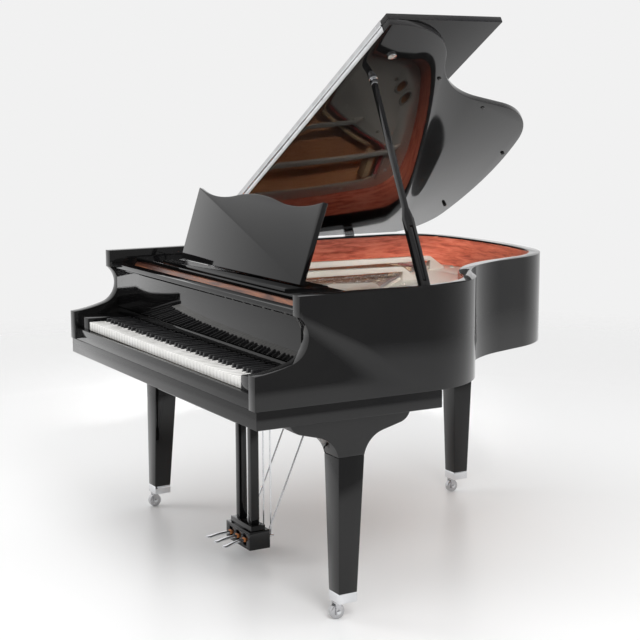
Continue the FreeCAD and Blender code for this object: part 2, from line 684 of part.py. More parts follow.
# Keyboard surround
block_inner = key_span / 2 + s.key_margin
block_top = key_top + s.sharp_rise
slip_back = s.key_front - s.slip_gap
slip_z = (s.keybed_height, key_top - s.slip_drop)
key_slip = box((-inner_half, inner_half), (s.keybed_setback, slip_back), slip_z)
add_group("key_slip", [key_slip])
cheeks = []
for low, high in ((-inner_half, -block_inner), (block_inner, inner_half)):
    cheek_y = (slip_back, s.fallboard_depth - s.cheek_setback)
    cheeks.append(box((low, high), cheek_y, (s.keybed_height, block_top)))
add_group("cheek_blocks", cheeks)

# Key frame with its front, balance and back rails
frame_low = s.keybed_height + s.clearance
frame_high = key_bottom - s.clearance
frame_half = key_span / 2
key_back = s.key_front + s.key_length
rail_half = frame_half + s.bracket_gap
frame_end = rail_half + s.bracket_wall
frame_front = s.key_front + s.frame_setback
balance_front = s.balance_depth - s.balance_rail_lead
frame_back = key_back + s.back_rail_overhang
back_rail_y = (frame_back - s.back_rail_depth, frame_back)
front_rail_y = (frame_front, frame_front + s.frame_rail_depth)
balance_y = (balance_front, balance_front + s.frame_rail_depth)
rails = [
    box((-frame_half, frame_half), front_rail_y, (frame_low, frame_low + s.front_rail_height)),
    box((-frame_half, frame_half), balance_y, (frame_low, frame_high)),
    box((-frame_end, frame_end), back_rail_y, (frame_low, frame_high)),
]
for side in (-1, 1):
    edge = frame_half * side
    low, high = (edge, edge + s.frame_side_width) if side < 0 else (edge - s.frame_side_width, edge)
    rails.append(box((low, high), (frame_front, frame_back), (frame_low, frame_low + s.frame_side_height)))
key_frame = fuse(*rails)
add_node(key_frame, "key_frame")

# Keys: every key of one name shares a node and repeats by the octave
octave = s.key_pitch * octave_keys
naturals_below_middle = 24
first_octave = -naturals_below_middle * s.key_pitch
slot_low = s.key_pitch * 3 / 5
slot_high = s.key_pitch * 4 / 7
high_group = s.key_pitch * 3
sharp_centres = {
    "c_sharp": slot_low * 1.5,
    "d_sharp": slot_low * 3.5,
    "f_sharp": high_group + slot_high * 1.5,
    "g_sharp": high_group + slot_high * 3.5,
    "a_sharp": high_group + slot_high * 5.5,
}
naturals = [
    ("c", None, "c_sharp"),
    ("d", "c_sharp", "d_sharp"),
    ("e", "d_sharp", None),
    ("f", None, "f_sharp"),
    ("g", "f_sharp", "g_sharp"),
    ("a", "g_sharp", "a_sharp"),
    ("b", "a_sharp", None),
]
key_copies = {"a": 8, "a_sharp": 8, "b": 8, "c": 8}
half_gap = s.key_gap / 2
sharp_front = s.key_front + s.sharp_setback
head_end = sharp_front - s.key_gap


def key_start(name):
    return first_octave - octave if name in ("a", "a_sharp", "b") else first_octave


for place, (name, left_sharp, right_sharp) in enumerate(naturals):
    start = key_start(name)
    left = start + s.key_pitch * place + half_gap
    right = start + s.key_pitch * (place + 1) - half_gap
    tail_left, tail_right = left, right
    if left_sharp:
        tail_left = start + sharp_centres[left_sharp] + s.sharp_width / 2 + s.key_gap
    if right_sharp:
        tail_right = start + sharp_centres[right_sharp] - s.sharp_width / 2 - s.key_gap
    corners = [(left, s.key_front), (right, s.key_front)]
    corners += [(right, head_end), (tail_right, head_end)] if right_sharp else []
    corners += [(tail_right, key_back), (tail_left, key_back)]
    corners += [(tail_left, head_end), (left, head_end)] if left_sharp else []
    key = new_body(f"key_{name}")
    stick = pad(key, "XY_Plane", corners, key_bottom, key_top)
    head = rectangle((left, right), (s.key_front, s.key_front + s.key_head_length - s.key_lip_setback))
    lip = pad(key, "XY_Plane", head, key_bottom - s.key_head_drop, key_bottom)
    row_of(key, [stick, lip], octave, key_copies.get(name, 7))
    add_node(key, f"key_{name}")

for name, centre in sharp_centres.items():
    middle = key_start(name) + centre
    sharp_top = key_top + s.sharp_rise
    sharp_end = sharp_front + s.sharp_length
    corners = [
        (sharp_front, key_bottom),
        (key_back, key_bottom),
        (key_back, key_top),
        (sharp_end, key_top),
        (sharp_end, sharp_top),
        (sharp_front + s.sharp_slope, sharp_top),
    ]
    key = new_body(f"key_{name}")
    stick = pad(key, "YZ_Plane", corners, middle - s.sharp_width / 2, middle + s.sharp_width / 2)
    row_of(key, [stick], octave, key_copies.get(name, 7))
    add_node(key, f"key_{name}")

# Action: end brackets and rails, with a row of wippens and a row of hammers
hammer_pivot = s.hammer_depth - s.shank_length
shank_low = soundboard_bottom - s.shank_drop
wippen_low = key_top + s.wippen_lift
wippen_back = hammer_pivot + s.wippen_back
hammer_rail_front = hammer_pivot - s.hammer_rail_lead
hammer_rail_y = (hammer_rail_front, hammer_rail_front + s.hammer_rail_depth)
wippen_rail_y = (wippen_back, wippen_back + s.wippen_rail_depth)
wippen_rail_low = wippen_low - s.wippen_rail_drop
wippen_rail_z = (wippen_rail_low, wippen_rail_low + s.wippen_rail_height)
rails = [
    box((-rail_half, rail_half), hammer_rail_y, (shank_low - s.hammer_rail_height, shank_low)),
    box((-rail_half, rail_half), wippen_rail_y, wippen_rail_z),
]
for low, high in ((-frame_end, -rail_half), (rail_half, frame_end)):
    rails.append(box((low, high), back_rail_y, (key_bottom - s.clearance, shank_low)))
add_node(fuse(*rails), "action_rails")

first_note = -note_pitch * (note_count - 1) / 2
hammer_top = string_level - s.hammer_blow
hammers = new_body("hammers")
hammer_corners = [
    (hammer_pivot, shank_low),
    (s.hammer_depth + s.hammer_half_base, shank_low),
    (s.hammer_depth, hammer_top),
    (s.hammer_depth - s.hammer_half_base, shank_low + s.shank_thickness),
    (hammer_pivot, shank_low + s.shank_thickness),
]
half_hammer = s.hammer_width / 2
hammer = pad(hammers, "YZ_Plane", hammer_corners, first_note - half_hammer, first_note + half_hammer)
row_of(hammers, [hammer], note_pitch, note_count)
add_node(hammers, "hammers")

wippens = new_body("wippens")
wippen_x = (first_note - half_hammer, first_note + half_hammer)
wippen_plan = rectangle(wippen_x, (wippen_back - s.wippen_length, wippen_back))
wippen = pad(wippens, "XY_Plane", wippen_plan, wippen_low, wippen_low + s.wippen_thickness)
row_of(wippens, [wippen], note_pitch, note_count)
add_node(wippens, "wippens")

# Soundboard with its ribs, and the pin block
soundboard = case_slab(s.rim_thickness, s.soundboard_front, soundboard_bottom, soundboard_top)
rib_low = soundboard_bottom - s.rib_height
rib_room = case_slab(inner_inset + s.rib_end_gap, 0, rib_low, soundboard_bottom)
ribs = []
rib_first = belly_depth[1] + float(s.rib_margin)
rib_last = float(s.case_length - inner_inset - s.rib_margin)
rib_step = (rib_last - rib_first) / (rib_count - 1)
for number in range(rib_count):
    front = rib_first + rib_step * number
    rib_y = (front, front + s.rib_width)
    rib = block_shape((-half_width, half_width), rib_y, (rib_low, soundboard_bottom))
    ribs.append(rib.common(rib_room))
add_shape("soundboard", soundboard.fuse(ribs).removeSplitter())

pin_block = new_body("pin_block")
pin_block_y = (s.inner_rim_start, s.inner_rim_start + s.pin_block_depth)
pin_block_plan = rectangle((-inner_half, inner_half), pin_block_y)
pad(pin_block, "XY_Plane", pin_block_plan, soundboard_bottom, pin_block_top)
add_node(pin_block, "pin_block")

# Hitch rail: each course of strings ends on a line that falls from the tail to the treble side.
# Shares of the half width and of the fall, from the treble end to the bass end
hitch_shares = [
    (0.922, 0.0),
    (0.738, 0.008),
    (0.482, 0.018),
    (0.234, 0.034),
    (0.028, 0.237),
    (-0.170, 0.435),
    (-0.397, 0.702),
    (-0.567, 0.947),
    (-0.610, 0.985),
    (-0.993, 1.0),
]
case_half = float(inner_half)
tail = float(s.case_length)
hitch_near = float(s.hitch_treble_depth)
hitch_far = tail - float(s.hitch_tail_margin)
hitch_fall = hitch_far - hitch_near
hitch_line = [(across * case_half, hitch_near + fall * hitch_fall) for across, fall in hitch_shares]
break_share = -0.589
bass_break = break_share * case_half


def hitch_depth(x):
    for (right, near), (left, far) in zip(hitch_line, hitch_line[1:]):
        if x >= left:
            return near + (far - near) * (right - x) / (right - left)
    return hitch_line[-1][1]


def band(right, left, front_shift, back_shift, low, high):
    stops = [right] + [x for x, y in hitch_line if left < x < right] + [left]
    near = [(x, hitch_depth(x) + front_shift) for x in stops]
    far = [(x, hitch_depth(x) + back_shift) for x in reversed(stops)]
    return plan_shape(near + far, low, high)


# Iron plate: web over the pin block, flanges, hitch rail, tail web with portholes, and struts
plate_half = float(inner_half - s.veneer_thickness - s.plate_inset)
plate_inset = veneer_inset + s.plate_inset
plate_low, plate_high = float(pin_block_top), float(plate_top)
web_back = float(plate_front + s.plate_front_depth)
string_z = float(string_level)
hitch = float(s.hitch_width)
plate_room = case_slab(plate_inset, 0, plate_low, rim_top)
flange_edge = plate_half - float(s.flange_width)
flange_front = web_back - float(s.flange_lap)
flange_end = tail - float(s.flange_end_margin)
# Shares of the half width that the bass flange leaves open at its front and back ends
front_share, back_share = 0.82, 0.88
bass_flange = [
    (-plate_half, flange_front),
    (-plate_half * front_share, flange_front),
    (-flange_edge, web_back + s.flange_taper),
    (-flange_edge, tail - s.flange_flare_margin),
    (-plate_half * back_share, flange_end),
    (-plate_half, flange_end),
]
# The web runs from the hitch line to the rim, and the bass end starts just ahead of that line
web_side = float(half_width)
bass_front = hitch_far - float(s.bass_web_lead)
bass_web = [(-web_side, bass_front), (bass_break, bass_front)]
treble_web = [(x, y) for x, y in reversed(hitch_line) if x > bass_break]
tail_web = bass_web + treble_web + [(web_side, hitch_near), (web_side, tail), (-web_side, tail)]
# Portholes: share of the plate's half width, distance ahead of the tail, and radius
portholes = [(0.026, 249, 38), (-0.119, 191, 38), (0.118, 306, 12)]
web = block_shape((-plate_half, plate_half), (plate_front, web_back), (plate_low, plate_high))
treble_flange_y = (flange_front, hitch_near + hitch)
band_front = float(s.hitch_band_gap)
band_back = band_front + float(s.hitch_band_width)
strip_y = (web_back - s.web_strip, web_back)
plate = web.fuse(
    [
        plan_shape(bass_flange, plate_low, plate_high),
        plan_shape(tail_web, plate_low, plate_high).common(plate_room),
        block_shape((flange_edge, plate_half), treble_flange_y, (plate_low, plate_high)),
        band(flange_edge, -flange_edge, band_front, band_back, plate_high, string_z),
        block_shape((-flange_edge, flange_edge), strip_y, (plate_high, string_z)),
    ]
)
plate = plate.common(plate_room)
strut_top = float(plate_top + s.strut_height)
strut_low = string_z + float(s.strut_clearance)
toe = web_back - float(s.strut_toe)
throat = web_back - float(s.strut_throat)
strut_shares = (0.632, 0.237, -0.266, -0.626)
for share in strut_shares:
    strut_x = share * plate_half
    foot = hitch_depth(strut_x) + float(s.strut_foot_gap)
    heel = foot + float(s.strut_foot_length)
    side = [
        (toe, plate_high),
        (throat, plate_high),
        (throat, strut_low),
        (foot, strut_low),
        (foot, plate_high),
        (heel, plate_high),
        (heel, plate_high + s.strut_heel_height),
        (foot, strut_top - s.strut_fall),
        (web_back + s.strut_crest, strut_top),
        (toe, strut_low + s.strut_toe_rise),
    ]
    corners = [Vector(strut_x - float(s.strut_width) / 2, float(y), float(z)) for y, z in side]
    strut = Part.Face(Part.makePolygon(corners + corners[:1])).extrude(Vector(float(s.strut_width), 0, 0))
    plate = plate.fuse(strut)
for share, ahead, radius in portholes:
    place = Vector(share * plate_half, tail - ahead, plate_low)
    plate = plate.cut(Part.makeCylinder(radius, plate_high - plate_low, place))
# Posts down to the soundboard: share of the plate's half width, and depth
post_places = [
    (-0.977, web_back + 113),
    (-0.977, tail - 656),
    (-0.974, tail - 376),
    (-0.862, tail - 161),
    (-0.618, tail - 88),
    (-0.316, tail - 78),
    (-0.029, tail - 94),
    (0.955, web_back + 93),
]
post_half = float(s.plate_post) / 2
for share, y in post_places:
    x = share * plate_half
    post_z = (soundboard_top, plate_high)
    plate = plate.fuse(block_shape((x - post_half, x + post_half), (y - post_half, y + post_half), post_z))
add_shape("plate", plate.removeSplitter())

# Bridges, strings, tuning pins and dampers
bridge_front = -float(s.bridge_setback)
bridge_back = bridge_front + float(s.bridge_width)
bridge_end = float(key_span / 2 + s.bridge_overhang)
bridge_z = (soundboard_top, string_level)
long_bridge_end = bass_break + float(s.long_bridge_gap)
bass_bridge_end = bass_break - float(s.bass_bridge_gap)
treble_bridge = band(bridge_end, long_bridge_end, bridge_front, bridge_back, *bridge_z)
bass_bridge = band(bass_bridge_end, -bridge_end, bridge_front, bridge_back, *bridge_z)
add_shape("bridges", Part.makeCompound([treble_bridge, bass_bridge]))

half_string = float(s.string_size) / 2
note_places = [float(first_note) + float(note_pitch) * number for number in range(note_count)]
strings = []
tuning_pins = []
pin_half = float(s.tuning_pin_size) / 2
for number, x in enumerate(note_places):
    end = hitch_depth(x) + float(s.string_tail)
    wire_x = (x - half_string, x + half_string)
    strings.append(block_shape(wire_x, (web_back - s.string_lead, end), (string_z, string_z + s.string_size)))
    y = web_back - float(s.pin_row_setback + s.pin_row_pitch * (number % pin_row_count))
    pin_z = (plate_high, plate_high + float(s.tuning_pin_height))
    tuning_pins.append(block_shape((x - pin_half, x + pin_half), (y - pin_half, y + pin_half), pin_z))
add_shape("strings", Part.makeCompound(strings))
add_shape("tuning_pins", Part.makeCompound(tuning_pins))

dampers = new_body("dampers")
damper_low = string_level + s.string_size + s.clearance
damper_back = s.damper_depth + s.damper_length
damper_corners = [
    (s.damper_depth, damper_low),
    (damper_back, damper_low),
    (damper_back - s.damper_slope, damper_low + s.damper_height),
    (s.damper_depth + s.damper_slope, damper_low + s.damper_height),
]
half_damper = s.damper_width / 2
damper = pad(dampers, "YZ_Plane", damper_corners, first_note - half_damper, first_note + half_damper)
row_of(dampers, [damper], note_pitch, damper_count)
add_node(dampers, "dampers")

# Legs: square and tapered, with S-shaped brackets
bracket_low = keybed_bottom - s.bracket_height
rear_bracket_low = s.keybed_height - s.bracket_height


def leg_shape(outer, front, taper_x, taper_y, top):
    # Positive tapers draw that side in towards larger values, negative towards smaller, zero evenly.
    wide, slim = float(s.leg_top_width), float(s.leg_bottom_width)
    spare = wide - slim
    shift = {1: spare, -1: 0.0, 0: spare / 2}
    rings = []
    for level, size, dx, dy in ((top, wide, 0, 0), (leg_bottom, slim, shift[taper_x], shift[taper_y])):
        x, y, z = outer + dx, front + dy, float(level)
        plan = ((x, y), (x + size, y), (x + size, y + size), (x, y + size))
        rings.append([Vector(across, along, z) for across, along in plan])
    high, low = rings
    sides = [[high[i - 1], high[i], low[i], low[i - 1]] for i in range(4)]
    faces = [Part.Face(Part.makePolygon(ring + ring[:1])) for ring in rings + sides]
    return Part.makeSolid(Part.makeShell(faces))


def wing_shape(start, low, reach):
    # Side view of one bracket wing in the YZ plane, from the leg's face outwards.
    # Each point of the S is a share of the reach and of the drop.
    high = low + float(s.bracket_height)
    drop = float(s.bracket_height)
    hollow = Vector(0, start + reach * 0.138, high - drop * 0.64)
    knee = Vector(0, start + reach * 0.4, high - drop * 0.43)
    shoulder = Vector(0, start + reach * 0.8, high - drop * 0.29)
    swell = Vector(0, start + reach * 0.92, high - drop * 0.2)
    tip = Vector(0, start + reach, high - float(s.bracket_lip))
    corner = Vector(0, start, low)
    root = Vector(0, start, high)
    edges = [
        Part.Arc(corner, hollow, knee).toShape(),
        Part.makeLine(knee, shoulder),
        Part.Arc(shoulder, swell, tip).toShape(),
        Part.makeLine(tip, Vector(0, tip.y, high)),
        Part.makeLine(Vector(0, tip.y, high), root),
        Part.makeLine(root, corner),
    ]
    return Part.Face(Part.Wire(edges)).extrude(Vector(float(s.leg_top_width), 0, 0))


def bracket_shape(x, y, low, wings):
    # Core over the leg's top with wings turned about it in quarter turns.
    width = float(s.leg_top_width)
    core = block_shape((x, x + width), (y, y + width), (low, low + float(s.bracket_height)))
    centre = Vector(x + width / 2, y + width / 2, 0)
    for quarter in wings:
        wing = wing_shape(y + width, low, float(s.bracket_reach))
        wing.translate(Vector(x, 0, 0))
        wing.rotate(centre, Vector(0, 0, 1), 90 * quarter)
        core = core.fuse(wing)
    return core.removeSplitter()


outer_x = float(s.leg_outset)
wide = float(s.leg_top_width)
front_y = float(s.leg_setback)
rear_y = float(rear_leg_depth) - wide / 2
rear_left = rear_x - wide / 2
legs = [
    leg_shape(-outer_x, front_y, -1, -1, bracket_low),
    leg_shape(outer_x - wide, front_y, 1, -1, bracket_low),
    leg_shape(rear_left, rear_y, 0, 0, rear_bracket_low),
]
add_shape("legs", Part.makeCompound(legs))
brackets = [
    bracket_shape(-outer_x, front_y, float(bracket_low), (0, 2)),
    bracket_shape(outer_x - wide, front_y, float(bracket_low), (0, 2)),
    bracket_shape(rear_left, rear_y, float(rear_bracket_low), (1, 3)),
]
add_shape("leg_brackets", Part.makeCompound(brackets))

# Casters under the middle of each leg's end
slim = s.leg_bottom_width
front_leg_x = s.leg_outset - slim / 2
caster_places = [
    ("front_left", -front_leg_x, s.leg_setback + slim / 2),
    ("front_right", front_leg_x, s.leg_setback + slim / 2),
    ("rear", -s.rear_leg_offset, rear_leg_depth),
]
ferrule_bottom = leg_bottom - s.ferrule_height
ferrules = []
stem_bore = s.stem_diameter / 2 + s.running_fit
wheel_radius = s.wheel_diameter / 2
fork_half = s.wheel_width / 2 + s.clearance + s.fork_wall
wheel_half = s.wheel_width / 2
for name, x, y in caster_places:
    cap = box((x - slim / 2, x + slim / 2), (y - slim / 2, y + slim / 2), (ferrule_bottom, leg_bottom))
    ferrules.append(cut(cap, rod((x, y, ferrule_bottom), stem_bore, s.ferrule_height)))

    fork_top = ferrule_bottom - s.clearance
    wheel_y = y - s.caster_trail
    crown_low = s.wheel_diameter + s.fork_gap
    cheek_y = (wheel_y - s.fork_half, wheel_y + s.fork_half)
    cheek_gap = wheel_half + s.clearance
    pieces = [
        box((x - fork_half, x + fork_half), (cheek_y[0], y + s.fork_back), (crown_low, fork_top)),
        rod((x, y, crown_low), s.stem_diameter / 2, fork_top - crown_low + s.stem_length),
        rod((x - fork_half, wheel_y, wheel_radius), s.axle_diameter / 2, fork_half * 2, Vector(1, 0, 0)),
    ]
    for low, high in ((x - fork_half, x - cheek_gap), (x + cheek_gap, x + fork_half)):
        pieces.append(box((low, high), cheek_y, (wheel_radius - s.fork_half, crown_low)))
    add_node(fuse(*pieces), f"caster_fork_{name}")

    tread = rod((x - wheel_half, wheel_y, wheel_radius), wheel_radius, s.wheel_width, Vector(1, 0, 0))
    axle_bore = s.axle_diameter / 2 + s.running_fit
    bore = rod((x - wheel_half, wheel_y, wheel_radius), axle_bore, s.wheel_width, Vector(1, 0, 0))
    add_node(cut(tread, bore), f"caster_wheel_{name}")
add_group("leg_ferrules", ferrules)

# Lyre: posts under a block, the pedal box with its pivot rod, and two braces
post_half = s.lyre_post_width / 2
post_y = (lyre_middle - s.lyre_post_depth / 2, lyre_middle + s.lyre_post_depth / 2)
cap_top = lyre_top + s.lyre_cap
board_low = keybed_bottom - s.lyre_board_height
board_half = s.lyre_board_width / 2
round_end = s.lyre_board_round
rod_places = [("left", -s.pedal_pitch), ("middle", s.pedal_pitch * 0), ("right", s.pedal_pitch * 1)]
board_corners = [
    (-board_half, keybed_bottom),
    (-board_half, board_low + round_end),
    (-board_half + round_end, board_low, -round_end),
    (board_half - round_end, board_low),
    (board_half, board_low + round_end, -round_end),
    (board_half, keybed_bottom),
]
lyre_board = new_body("lyre_board_blank")
pad(lyre_board, "XZ_Plane", board_corners, s.lyre_board_setback, s.rod_setback + s.lyre_board_margin)
slot_half = s.rod_diameter / 2 + s.clearance
slot_x = (-s.pedal_pitch - slot_half, s.pedal_pitch + slot_half)
rod_slot = box(slot_x, (s.rod_setback - slot_half, s.rod_setback + slot_half), (board_low, keybed_bottom))
add_node(cut(lyre_board, rod_slot), "lyre_board")

posts = []
for middle in (-s.lyre_post_spread / 2, s.lyre_post_spread / 2):
    posts.append(box((middle - post_half, middle + post_half), post_y, (cap_top, board_low)))
add_group("lyre_posts", posts)

box_half = s.lyre_box_width / 2
box_y = (s.lyre_setback, s.lyre_setback + s.lyre_box_depth)
tunnel_half = s.pedal_width / 2 + s.pedal_room
cap_half = box_half - s.lyre_cap_inset
cap_y = (box_y[0] + s.lyre_cap_inset, box_y[1] - s.lyre_cap_inset)
housing = fuse(
    box((-box_half, box_half), box_y, (s.lyre_clearance, lyre_top)),
    box((-cap_half, cap_half), cap_y, (lyre_top, cap_top)),
)
tunnels = []
for name, x in rod_places:
    tunnel_y = (box_y[0] - overrun, box_y[1] + overrun)
    tunnel_z = (s.pedal_height - s.pedal_room_below, s.pedal_height + s.pedal_room_above)
    tunnels.append(box((x - tunnel_half, x + tunnel_half), tunnel_y, tunnel_z))
pivot_start = s.pedal_pin_cover - box_half
pivot_place = (pivot_start, pedal_pivot, s.pedal_height)
pivot_rod = rod(pivot_place, s.pedal_pin_diameter / 2, -2 * pivot_start, Vector(1, 0, 0))
add_node(fuse(cut(housing, *tunnels), pivot_rod), "pedal_box")

brace_pieces = []
for x in (-float(s.brace_spread) / 2, float(s.brace_spread) / 2):
    foot = Vector(x, float(box_y[1]) + float(s.brace_diameter) / 2, float(lyre_top - s.brace_foot_drop))
    ring = Part.Face(Part.Wire(Part.makeCircle(float(s.brace_diameter) / 2, foot)))
    brace_pieces.append(ring.extrude(Vector(0, float(s.brace_run), float(keybed_bottom) - foot.z)))
add_shape("lyre_braces", Part.makeCompound(brace_pieces))

# Pedals, fanned at their tips, and the rods that they lift
pedal_front = s.lyre_setback - s.pedal_reach
pedal_low = s.pedal_height - s.pedal_thickness / 2
pedal_high = s.pedal_height + s.pedal_thickness / 2
pedal_half = s.pedal_width / 2
pin_clear = s.pedal_pin_diameter / 2 + s.running_fit
rod_low = pedal_high + s.clearance
rod_high = keybed_bottom - s.rod_gap
pedal_back = s.rod_setback + s.pedal_tail
neck = s.lyre_setback - s.pedal_neck
toe = s.pedal_toe
# Radius of the tip's arc for each millimetre of its half width
tip_round = 1.02
for (name, x), splay in zip(rod_places, (-1, 0, 1)):
    tip = x + s.pedal_splay * splay
    corners = [
        (x - pedal_half, pedal_back),
        (x - pedal_half, neck),
        (tip - toe, pedal_front + toe),
        (tip + toe, pedal_front + toe, toe * -tip_round),
        (x + pedal_half, neck),
        (x + pedal_half, pedal_back),
    ]
    lever = new_body(f"pedal_{name}_lever")
    pad(lever, "XY_Plane", corners, pedal_low, pedal_high)
    boss_half = pin_clear + s.pedal_boss
    boss_y = (pedal_pivot - boss_half, pedal_pivot + boss_half)
    boss_z = (s.pedal_height - boss_half, s.pedal_height + boss_half)
    boss = box((x - pedal_half, x + pedal_half), boss_y, boss_z)
    bore_place = (x - pedal_half - overrun, pedal_pivot, s.pedal_height)
    bore = rod(bore_place, pin_clear, s.pedal_width + 2 * overrun, Vector(1, 0, 0))
    add_node(cut(fuse(lever, boss), bore), f"pedal_{name}")
    lift_rod = rod((x, s.rod_setback, rod_low), s.rod_diameter / 2, rod_high - rod_low)
    add_group(f"pedal_rod_{name}", [lift_rod])

# Fallboard, raised, with a lip along its free edge
fall_high = fall_low + s.fallboard_height
fall_half = inner_half - s.fallboard_gap
fall_corners = [
    (s.fallboard_depth, fall_low),
    (fall_back, fall_low),
    (fall_back, fall_high),
    (s.fallboard_depth - s.fallboard_lip, fall_high),
    (s.fallboard_depth - s.fallboard_lip, fall_high - s.fallboard_lip_face),
    (s.fallboard_depth, fall_high - s.fallboard_lip_height, s.fallboard_lip_round),
]
fall_panel = new_body("fallboard_panel")
pad(fall_panel, "YZ_Plane", fall_corners, -fall_half, fall_half)
pin_reach = inner_half + s.fallboard_pin_length
pin_place = (-pin_reach, fall_pivot_y, fall_pivot_z)
fall_pins = rod(pin_place, s.fallboard_pin_diameter / 2, pin_reach * 2, Vector(1, 0, 0))
add_node(fuse(fall_panel, fall_pins), "fallboard")

# Music shelf across the case, sliding tray, desk and its stay
shelf = new_body("music_shelf")
shelf_y = (s.shelf_front, s.shelf_front + s.shelf_depth)
shelf_plan = rectangle((-inner_half, inner_half), shelf_y)
pad(shelf, "XY_Plane", shelf_plan, shelf_top - s.shelf_thickness, shelf_top)
add_node(shelf, "music_shelf")

tray_half = s.tray_width / 2
tray_y = (s.shelf_front, s.shelf_front + s.tray_depth)
tray_floor = tray_top - s.tray_step
ledge_back = s.shelf_front + s.ledge_depth
tray_corners = [
    (tray_y[0], tray_bottom),
    (tray_y[1], tray_bottom),
    (tray_y[1], tray_floor),
    (ledge_back, tray_floor),
    (ledge_back, tray_top),
    (tray_y[0], tray_top),
]
tray = new_body("tray_board")
pad(tray, "YZ_Plane", tray_corners, -tray_half, tray_half)
desk_y = ledge_back + s.desk_thickness + s.desk_gap
stay_y = desk_y + s.stay_setback
stay_z = tray_floor + s.clearance + s.stay_thickness / 2
stay_half = s.stay_width / 2
ear_inner = stay_half + s.clearance
ears = []
for low, high in ((-ear_inner - s.stay_ear, -ear_inner), (ear_inner, ear_inner + s.stay_ear)):
    ear = box((low, high), (stay_y - s.ear_half, stay_y + s.ear_half), (tray_floor, stay_z + s.ear_half))
    bore = rod((low, stay_y, stay_z), s.stay_pin_diameter / 2 + s.running_fit, s.stay_ear, Vector(1, 0, 0))
    ears.append(cut(ear, bore))
add_node(fuse(tray, *ears), "desk_tray")

# The desk turns about the back edge of its foot
desk_half = s.desk_width / 2
desk_foot = s.desk_foot_width / 2
crest = s.desk_height - s.desk_dip / 2
side_curve = s.desk_width * 0.78
middle_curve = s.desk_wave * 7
desk_corners = [
    (-desk_foot, 0),
    (desk_foot, 0),
    (desk_half, s.desk_height),
    (s.desk_wave, crest, side_curve),
    (-s.desk_wave, crest, -middle_curve),
    (-desk_half, s.desk_height, side_curve),
]
desk = new_body("music_desk")
pad(desk, "XZ_Plane", desk_corners, -s.desk_thickness, 0)
add_node(desk, "music_desk")
desk.Placement = FreeCAD.Placement(Vector(), FreeCAD.Rotation(Vector(-1, 0, 0), 1))
desk.setExpression("Placement.Rotation.Angle", s.desk_lean.text)
desk.setExpression("Placement.Base.y", (desk_y - s.case_length / 2).text)
desk.setExpression("Placement.Base.z", (tray_floor + s.clearance).text)

# The stay turns on a pin in the tray's ears and leans on the back of the desk
half_stay = s.stay_thickness / 2
pin_end = ear_inner + s.stay_ear
stay_pin = rod((-pin_end, 0, 0), s.stay_pin_diameter / 2, pin_end * 2, Vector(1, 0, 0))
stay = fuse(
    box((-stay_half, stay_half), (-s.stay_heel, s.stay_length), (-half_stay, half_stay)),
    stay_pin,
)
add_node(stay, "desk_stay")
stay.Placement = FreeCAD.Placement(Vector(), FreeCAD.Rotation(Vector(1, 0, 0), 1))
stay.setExpression("Placement.Rotation.Angle", s.stay_angle.text)
stay.setExpression("Placement.Base.y", (stay_y - s.case_length / 2).text)
stay.setExpression("Placement.Base.z", stay_z.text)


def lid_node(obj, label):
    # Lid pieces are drawn closed, with x and z measured from the hinge line.
    add_node(obj, label)
    obj.Placement = FreeCAD.Placement(Vector(), FreeCAD.Rotation(Vector(0, -1, 0), 1))
    obj.setExpression("Placement.Rotation.Angle", s.lid_angle.text)
    obj.setExpression("Placement.Base.x", hinge_x.text)
    obj.setExpression("Placement.Base.y", (-s.case_length / 2).text)
    obj.setExpression("Placement.Base.z", hinge_z.text)


# Lid, with its front flap folded back on top of it
lid_edge = -half_width - hinge_x
lid_panel = case_slab(-s.lid_overhang, s.lid_front, 0, s.lid_thickness)
lid_room_y = (s.lid_fold, s.case_length * 2)
lid_room = block_shape((-half_width, case_width), lid_room_y, (-overrun, s.lid_thickness + overrun))
lid_panel = lid_panel.common(lid_room)
lid_panel.translate(Vector(-float(hinge_x), 0, 0))
lid = doc.addObject("Part::Feature", "lid")
lid.Shape = Part.makeCompound([lid_panel])
lid_node(lid, "lid")

flap = new_body("lid_flap")
flap_low = s.lid_thickness + s.flap_gap
flap_x = (lid_edge, lid_edge + case_width + s.lid_overhang)
flap_y = (s.lid_fold, s.lid_fold * 2 - s.lid_front)
pad(flap, "XY_Plane", rectangle(flap_x, flap_y), flap_low, flap_low + s.lid_thickness)
lid_node(flap, "lid_flap")

# Lid hinges: leaves on the rim carry the outer knuckles and the pins, leaves on the lid the middle ones
knuckle = s.hinge_length / 3
leaf_x = (-half_width - s.hinge_leaf, -half_width)
leaf_clear = s.hinge_radius + s.hinge_leaf_gap
lid_leaf_z = (leaf_clear, s.lid_thickness - s.hinge_leaf_inset)
along = Vector(0, 1, 0)
rim_hinges = []
lid_fittings = []
for start in (s.front_hinge_depth - s.hinge_length / 2, back_hinge_depth - s.hinge_length / 2):
    finish = start + s.hinge_length
    pieces = [
        box(leaf_x, (start, finish), (hinge_z - s.hinge_leaf_height - leaf_clear, hinge_z - leaf_clear)),
        rod((hinge_x, start, hinge_z), s.pin_radius, s.hinge_length, along),
    ]
    for low in (start, finish - knuckle):
        pieces.append(box(leaf_x, (low, low + knuckle), (hinge_z - leaf_clear, hinge_z - s.hinge_radius / 2)))
        pieces.append(rod((hinge_x, low, hinge_z), s.hinge_radius, knuckle, along))
    rim_hinges.append(fuse(*pieces))

    low = start + knuckle + s.clearance
    length = knuckle - s.clearance * 2
    lid_leaf_x = (lid_edge - s.hinge_leaf, lid_edge)
    barrel = fuse(
        rod((0, low, 0), s.hinge_radius, length, along),
        box(lid_leaf_x, (low, low + length), (s.hinge_radius / 2, leaf_clear)),
        box(lid_leaf_x, (start, finish), lid_leaf_z),
    )
    lid_fittings.append(cut(barrel, rod((0, low, 0), s.pin_radius + s.running_fit, length, along)))
add_group("lid_hinges", rim_hinges)

